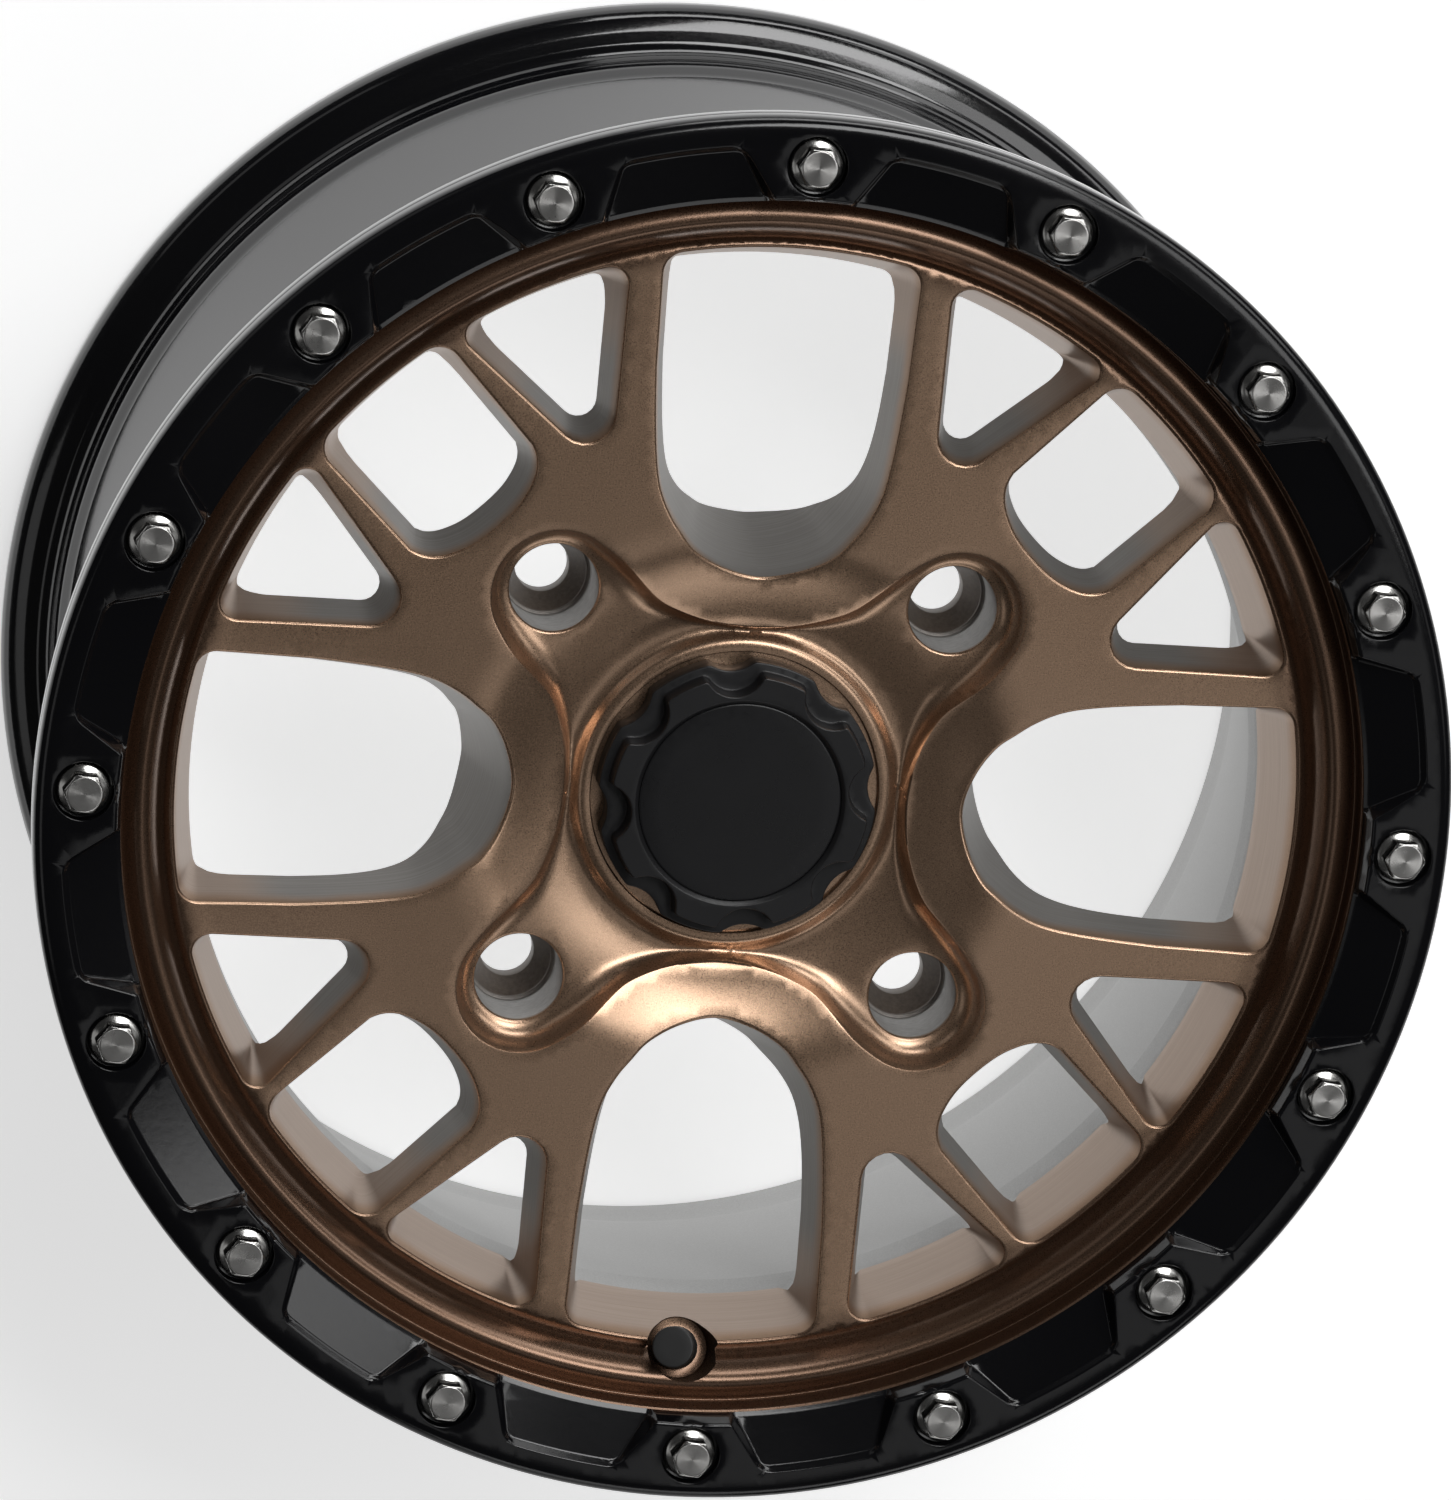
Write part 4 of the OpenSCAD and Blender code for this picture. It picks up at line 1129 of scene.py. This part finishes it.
def make_cap(plastic):
    sh = Shape()
    a = np.arange(CAP_N) * 2 * math.pi / CAP_N
    rf = flange_r(a)

    def loop(r, z):
        r = np.broadcast_to(np.asarray(r, float), a.shape)
        return np.stack([r * np.cos(a), r * np.sin(a), np.full(len(a), float(z))], 1)

    outer = loop(rf - 0.4, 169.4)
    inner = loop(29.25, 174.7)
    b = np.radians(np.arange(0, 360, 1.0))
    seeds = [np.stack([35.7 * np.cos(b), 35.7 * np.sin(b)], 1)]
    for k in range(8):
        c = turn([38.5, 0.0], CAP_TURN + 45 * k)
        q = np.radians(np.arange(0, 360, 5))
        p = np.stack([c[0] + 8.5 * np.cos(q), c[1] + 8.5 * np.sin(q)], 1)
        seeds.append(p[np.hypot(p[:, 0], p[:, 1]) < 36.2])
        for sg in (-1, 1):
            e = turn([34.6, sg * 7.6], CAP_TURN + 45 * k)
            q = np.radians(np.arange(0, 360, 30))
            seeds.append(np.stack([e[0] + 0.8 * np.cos(q), e[1] + 0.8 * np.sin(q)], 1))
    fine = offset_points(tier_sd, np.vstack(seeds), (-0.5, -0.34, -0.22, -0.1, 0.0, 0.08, 0.3, 0.5, 0.62, 0.78, 0.95), 0.25)
    fixed = np.vstack([outer[:, :2], inner[:, :2]])
    ok = inside(outer[:, :2], fine[:, 0], fine[:, 1]) & (np.hypot(fine[:, 0], fine[:, 1]) > 29.3)
    fine = spaced(thin(fine[ok], fixed, 0.08), 0.07)
    grid = hexgrid(-39, 39, -39, 39, 1.5)
    ok = inside(outer[:, :2], grid[:, 0], grid[:, 1]) & (np.hypot(grid[:, 0], grid[:, 1]) > 29.6)
    grid = thin(grid[ok], np.vstack([fixed, fine]), 0.6)
    z0 = cap_z(outer[:, 0], outer[:, 1])
    outer[:, 2] = z0
    field(sh, outer[:, :2], [inner[:, :2]], np.vstack([fine, grid]), cap_z)
    sh.strip([outer, loop(rf - 0.22, 169.35), loop(rf - 0.06, 169.2), loop(rf, 169.0), loop(rf, 162.8), loop(rf - 0.25, 162.5),
              loop(35.45, 162.5), loop(35.45, 161.0), loop(32.5, 161.0), loop(32.5, 166.2), loop(28.9, 167.0),
              loop(28.0, 170.2)], 0, flip=True)
    sh.add(loop(28.0, 170.2), [tuple(range(CAP_N))[::-1]], 0)
    rec = [inner, loop(29.05, 174.66), loop(28.9, 174.52), loop(28.15, 173.7), loop(28.03, 173.5), loop(28.0, 173.2)]
    sh.strip(rec, 0)
    sh.add(rec[-1], [tuple(range(CAP_N))], 0)
    # the skirt's eight fingers, with their barbs for the wire ring
    prof = fillet_poly([(35.45, 161.2), (35.45, 152.6, 0.5), (34.8, 151.4, 0.4), (32.5, 151.4, 0.3), (32.5, 154.0, 0.2),
                        (33.1, 154.4, 0.2), (33.1, 155.8, 0.2), (32.5, 156.2, 0.2), (32.5, 161.2)], 25)
    for k in range(8):
        b0 = CAP_TURN + 45 * k - 22.5 + 2.5
        bs = np.radians(b0 + np.linspace(0, 40, 17))
        rows = [np.stack([prof[:, 0] * math.cos(t), prof[:, 0] * math.sin(t), prof[:, 1]], 1) for t in bs]
        sh.strip(rows, 0)
        sh.add(rows[0], [tuple(range(len(prof)))], 0)
        sh.add(rows[-1], [tuple(range(len(prof)))[::-1]], 0)
    return sh.make("hub_cap", [plastic], sharp=40, recalc=True)


def make_disc(plastic):
    sh = Shape()
    prof = [(0.6, 173.9), (6, 173.89), (15, 173.86), (22, 173.82), (27.3, 173.78), (27.6, 173.74), (27.8, 173.63),
            (27.9, 173.45), (27.9, 173.2), (0.6, 173.2)]
    sh.revolve(prof, 0, 180, flip=True)
    sh.cap(0.6, 173.9, 180)
    sh.cap(0.6, 173.2, 180, 0, True)
    return sh.make("cap_face", [plastic], sharp=40, recalc=True)


def make_valve_cap(plastic):
    sh = Shape()
    n = 192
    a = np.arange(n) * 2 * math.pi / n
    d = (a + math.pi / 12) % (math.pi / 6) - math.pi / 12
    q = 1.2 ** 2 - (6.65 * np.sin(d)) ** 2
    groove = np.where(q > 0, 6.65 * np.cos(d) - np.sqrt(np.maximum(q, 0)), 9.0)

    def row(r, h, cut=0.0):
        rr = np.full(n, float(r))
        rr = np.where(cut > 0, np.minimum(rr, groove + (1 - cut) * 0.35), rr)
        return np.stack([rr * np.cos(a), rr * np.sin(a), np.full(n, float(h))], 1)

    rows = [row(0.5, 19.2), row(3.7, 19.2), row(3.9, 19.0), row(3.9, 9.95), row(4.05, 9.8), row(5.3, 9.8, 1.0), row(5.5, 9.9, 1.0),
            row(5.6, 10.2, 1.0), row(5.66, 13, 1.0), row(5.72, 17.6, 1.0), row(5.74, 18.2, 0.7), row(5.75, 18.5, 0.0),
            row(5.75, 19.35), row(5.7, 19.65), row(5.58, 19.86), row(5.38, 19.97), row(5.2, 20.0), row(3.0, 20.0), row(0.5, 20.0)]
    sh.strip(rows, 0)
    sh.add(rows[0], [tuple(range(n))[::-1]], 0)
    sh.add(rows[-1], [tuple(range(n))], 0)
    return sh.make("dust_cap", [plastic], sharp=40, place=valve_place, recalc=True)


def plastic_mat(name, col, rough, grain=900.0, spec=0.5, bump_amt=0.08):
    m, nt, b = material(name)
    vec = coords(nt)
    g = noise(nt, vec, grain, 3.0, 0.6)
    d = noise(nt, vec, 40.0, 3.0, 0.5)
    hi = tuple(c * 1.25 for c in col)
    nt.links.new(mix(nt, remap(nt, d, 0.3, 0.7, 0.0, 1.0), col, hi), b.inputs["Base Color"])
    nt.links.new(math_node(nt, "ADD", remap(nt, d, 0.3, 0.7, rough - 0.03, rough + 0.03), remap(nt, g, 0.3, 0.7, -0.03, 0.03)),
                 b.inputs["Roughness"])
    b.inputs["Specular IOR Level"].default_value = spec
    bump(nt, b, g, bump_amt, 0.0002)
    return m


def metal_mat(name, col, rough, scale=(1, 1, 1), grain=900.0, bump_amt=0.06):
    m, nt, b = material(name)
    vec = coords(nt, scale)
    g = noise(nt, vec, grain, 3.0, 0.6)
    d = noise(nt, coords(nt), 120.0, 3.0, 0.5)
    lo = tuple(c * 0.82 for c in col)
    nt.links.new(mix(nt, remap(nt, d, 0.3, 0.7, 0.0, 1.0), lo, col), b.inputs["Base Color"])
    b.inputs["Metallic"].default_value = 1.0
    nt.links.new(math_node(nt, "ADD", remap(nt, d, 0.3, 0.7, rough - 0.03, rough + 0.04), remap(nt, g, 0.3, 0.7, -0.03, 0.03)),
                 b.inputs["Roughness"])
    bump(nt, b, g, bump_amt, 0.0001)
    return m, nt, b


def turned_mat():
    """Bolt tops, turned on a lathe: fine rings round each bolt's own axis."""
    m, nt, b = metal_mat("turned_steel", (0.60, 0.59, 0.57), 0.30)
    uv = node(nt, "ShaderNodeUVMap", uv_map="map")
    mp = node(nt, "ShaderNodeMapping")
    mp.inputs["Scale"].default_value = (0.0, 9000.0, 1.0)
    nt.links.new(uv.outputs["UV"], mp.inputs["Vector"])
    rings = noise(nt, mp.outputs["Vector"], 1.0, 2.0, 0.7)
    nt.links.new(mix(nt, remap(nt, rings, 0.3, 0.7, 0.0, 1.0), (0.50, 0.49, 0.475), (0.68, 0.67, 0.65)), b.inputs["Base Color"])
    b.inputs["Anisotropic"].default_value = 0.82
    tg = node(nt, "ShaderNodeTangent", direction_type="UV_MAP", uv_map="map")
    nt.links.new(tg.outputs["Tangent"], b.inputs["Tangent"])
    return m


steel_mat, _nt, _b = metal_mat("plated_steel", (0.64, 0.63, 0.61), 0.20)
insert_mat, _nt, _b = metal_mat("insert_steel", (0.45, 0.45, 0.44), 0.35)
wire_mat, _nt, _b = metal_mat("spring_wire", (0.50, 0.50, 0.49), 0.28)
brass_mat, _nt, _b = metal_mat("brass", (0.80, 0.60, 0.28), 0.24)
cap_plastic = plastic_mat("cap_plastic", (0.012, 0.012, 0.013), 0.36, 700.0)
disc_plastic = plastic_mat("disc_plastic", (0.008, 0.008, 0.009), 0.30, 500.0, 0.5, 0.04)
dust_plastic = plastic_mat("dust_cap_plastic", (0.018, 0.018, 0.018), 0.48, 1400.0)
rubber_mat = plastic_mat("valve_rubber", (0.014, 0.014, 0.014), 0.55, 1600.0, 0.4, 0.15)
seal_mat = plastic_mat("seal_rubber", (0.02, 0.02, 0.02), 0.6, 1600.0, 0.4, 0.15)

ring = make_ring()
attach(ring, "wheel")
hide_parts("outer_ring")

bolts = make_bolts(steel_mat, turned_mat())
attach(bolts, "wheel")
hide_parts("ring_bolts")

cap = make_cap(cap_plastic)
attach(cap, "centre_cap")
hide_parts("cap_body")

disc = make_disc(disc_plastic)
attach(disc, "centre_cap")
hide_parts("cap_disc")

dust = make_valve_cap(dust_plastic)
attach(dust, "valve_cap")
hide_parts("valve_cap")

for name, mat in (("thread_inserts", insert_mat), ("cap_spring_ring", wire_mat), ("valve_body", rubber_mat),
                  ("valve_stem", brass_mat), ("core_housing", brass_mat), ("core_pin", brass_mat), ("core_spring", wire_mat),
                  ("core_seal", seal_mat), ("core_cup", seal_mat), ("cap_gasket", seal_mat)):
    ob = bpy.data.objects[name]
    ob.data.materials.clear()
    ob.data.materials.append(mat)


# ------------------------------------------------------------ camera, stage
cam_data = bpy.data.cameras.new("camera")
cam = bpy.data.objects.new("camera", cam_data)
scene.collection.objects.link(cam)
cam_data.sensor_fit = "AUTO"
cam_data.sensor_width = 36.0
cam_data.lens = 36.0 * 7710.7 / 1500.0
cam.matrix_world = Matrix((
    (0.98419841, -0.05186085, -0.16930431, -0.36081138),
    (0.09399778, 0.96332252, 0.25134468, 0.54215879),
    (0.15005970, -0.26328726, 0.95297529, 2.17392278),
    (0.0, 0.0, 0.0, 1.0)))
cam_data.clip_start, cam_data.clip_end = 0.05, 50.0
scene.camera = cam


def floor_material():
    m, nt, b = material("studio_floor")
    vec = coords(nt)
    n = noise(nt, vec, 6.0, 3.0, 0.5)
    nt.links.new(mix(nt, remap(nt, n, 0.3, 0.7, 0.0, 1.0), (0.84, 0.84, 0.84), (0.87, 0.87, 0.87)), b.inputs["Base Color"])
    b.inputs["Roughness"].default_value = 0.9
    b.inputs["Emission Color"].default_value = (1.0, 1.0, 1.0, 1.0)
    b.inputs["Emission Strength"].default_value = 0.62
    return m


fl = bpy.data.meshes.new("floor")
fl.from_pydata([(-6, -6, -0.0006), (6, -6, -0.0006), (6, 6, -0.0006), (-6, 6, -0.0006)], [], [(0, 1, 2, 3)])
floor = bpy.data.objects.new("floor", fl)
scene.collection.objects.link(floor)
fl.materials.append(floor_material())

scene.view_settings.view_transform = "Standard"
scene.view_settings.look = "None"

world = bpy.data.worlds.new("studio")
scene.world = world
world.use_nodes = True
world.node_tree.nodes["Background"].inputs["Color"].default_value = (1.0, 1.0, 1.0, 1.0)
world.node_tree.nodes["Background"].inputs["Strength"].default_value = 0.03


def area(name, loc, target, size, power, size_y=None):
    d = bpy.data.lights.new(name, "AREA")
    d.shape = "RECTANGLE"
    d.size, d.size_y = size, size_y or size
    d.energy = power
    o = bpy.data.objects.new(name, d)
    scene.collection.objects.link(o)
    o.location = loc
    o.rotation_mode = "QUATERNION"
    o.rotation_quaternion = (Vector(target) - Vector(loc)).to_track_quat("-Z", "Y")
    return o


def softbox(name, az, el, width, height, radiance, dist=3.0):
    """Area light aimed at the wheel from a compass direction and a height angle."""
    ca, sa, ce, se = (math.cos(math.radians(az)), math.sin(math.radians(az)),
                      math.cos(math.radians(el)), math.sin(math.radians(el)))
    return area(name, (dist * ce * ca, dist * ce * sa, 0.15 + dist * se), (0, 0, 0.15), width,
                radiance * math.pi * width * height, height)


for spec in (("key", 62, 57, 1.1, 1.2, 6.4), ("key_side", 14, 62, 1.0, 0.7, 2.4), ("key_mid", 45, 29, 1.8, 0.8, 2.2),
             ("key_low", 76, 14, 2.0, 0.8, 4.4), ("front_low", 270, 10, 1.2, 1.0, 0.5), ("front", 288, 30, 2.2, 0.8, 1.2),
             ("face", 310, 66, 1.3, 0.7, 0.4), ("left_high", 200, 48, 1.3, 0.8, 0.4), ("right", 0, 40, 0.9, 0.6, 0.4),
             ("back_left", 135, 22, 1.6, 1.0, 0.3)):
    softbox(*spec)
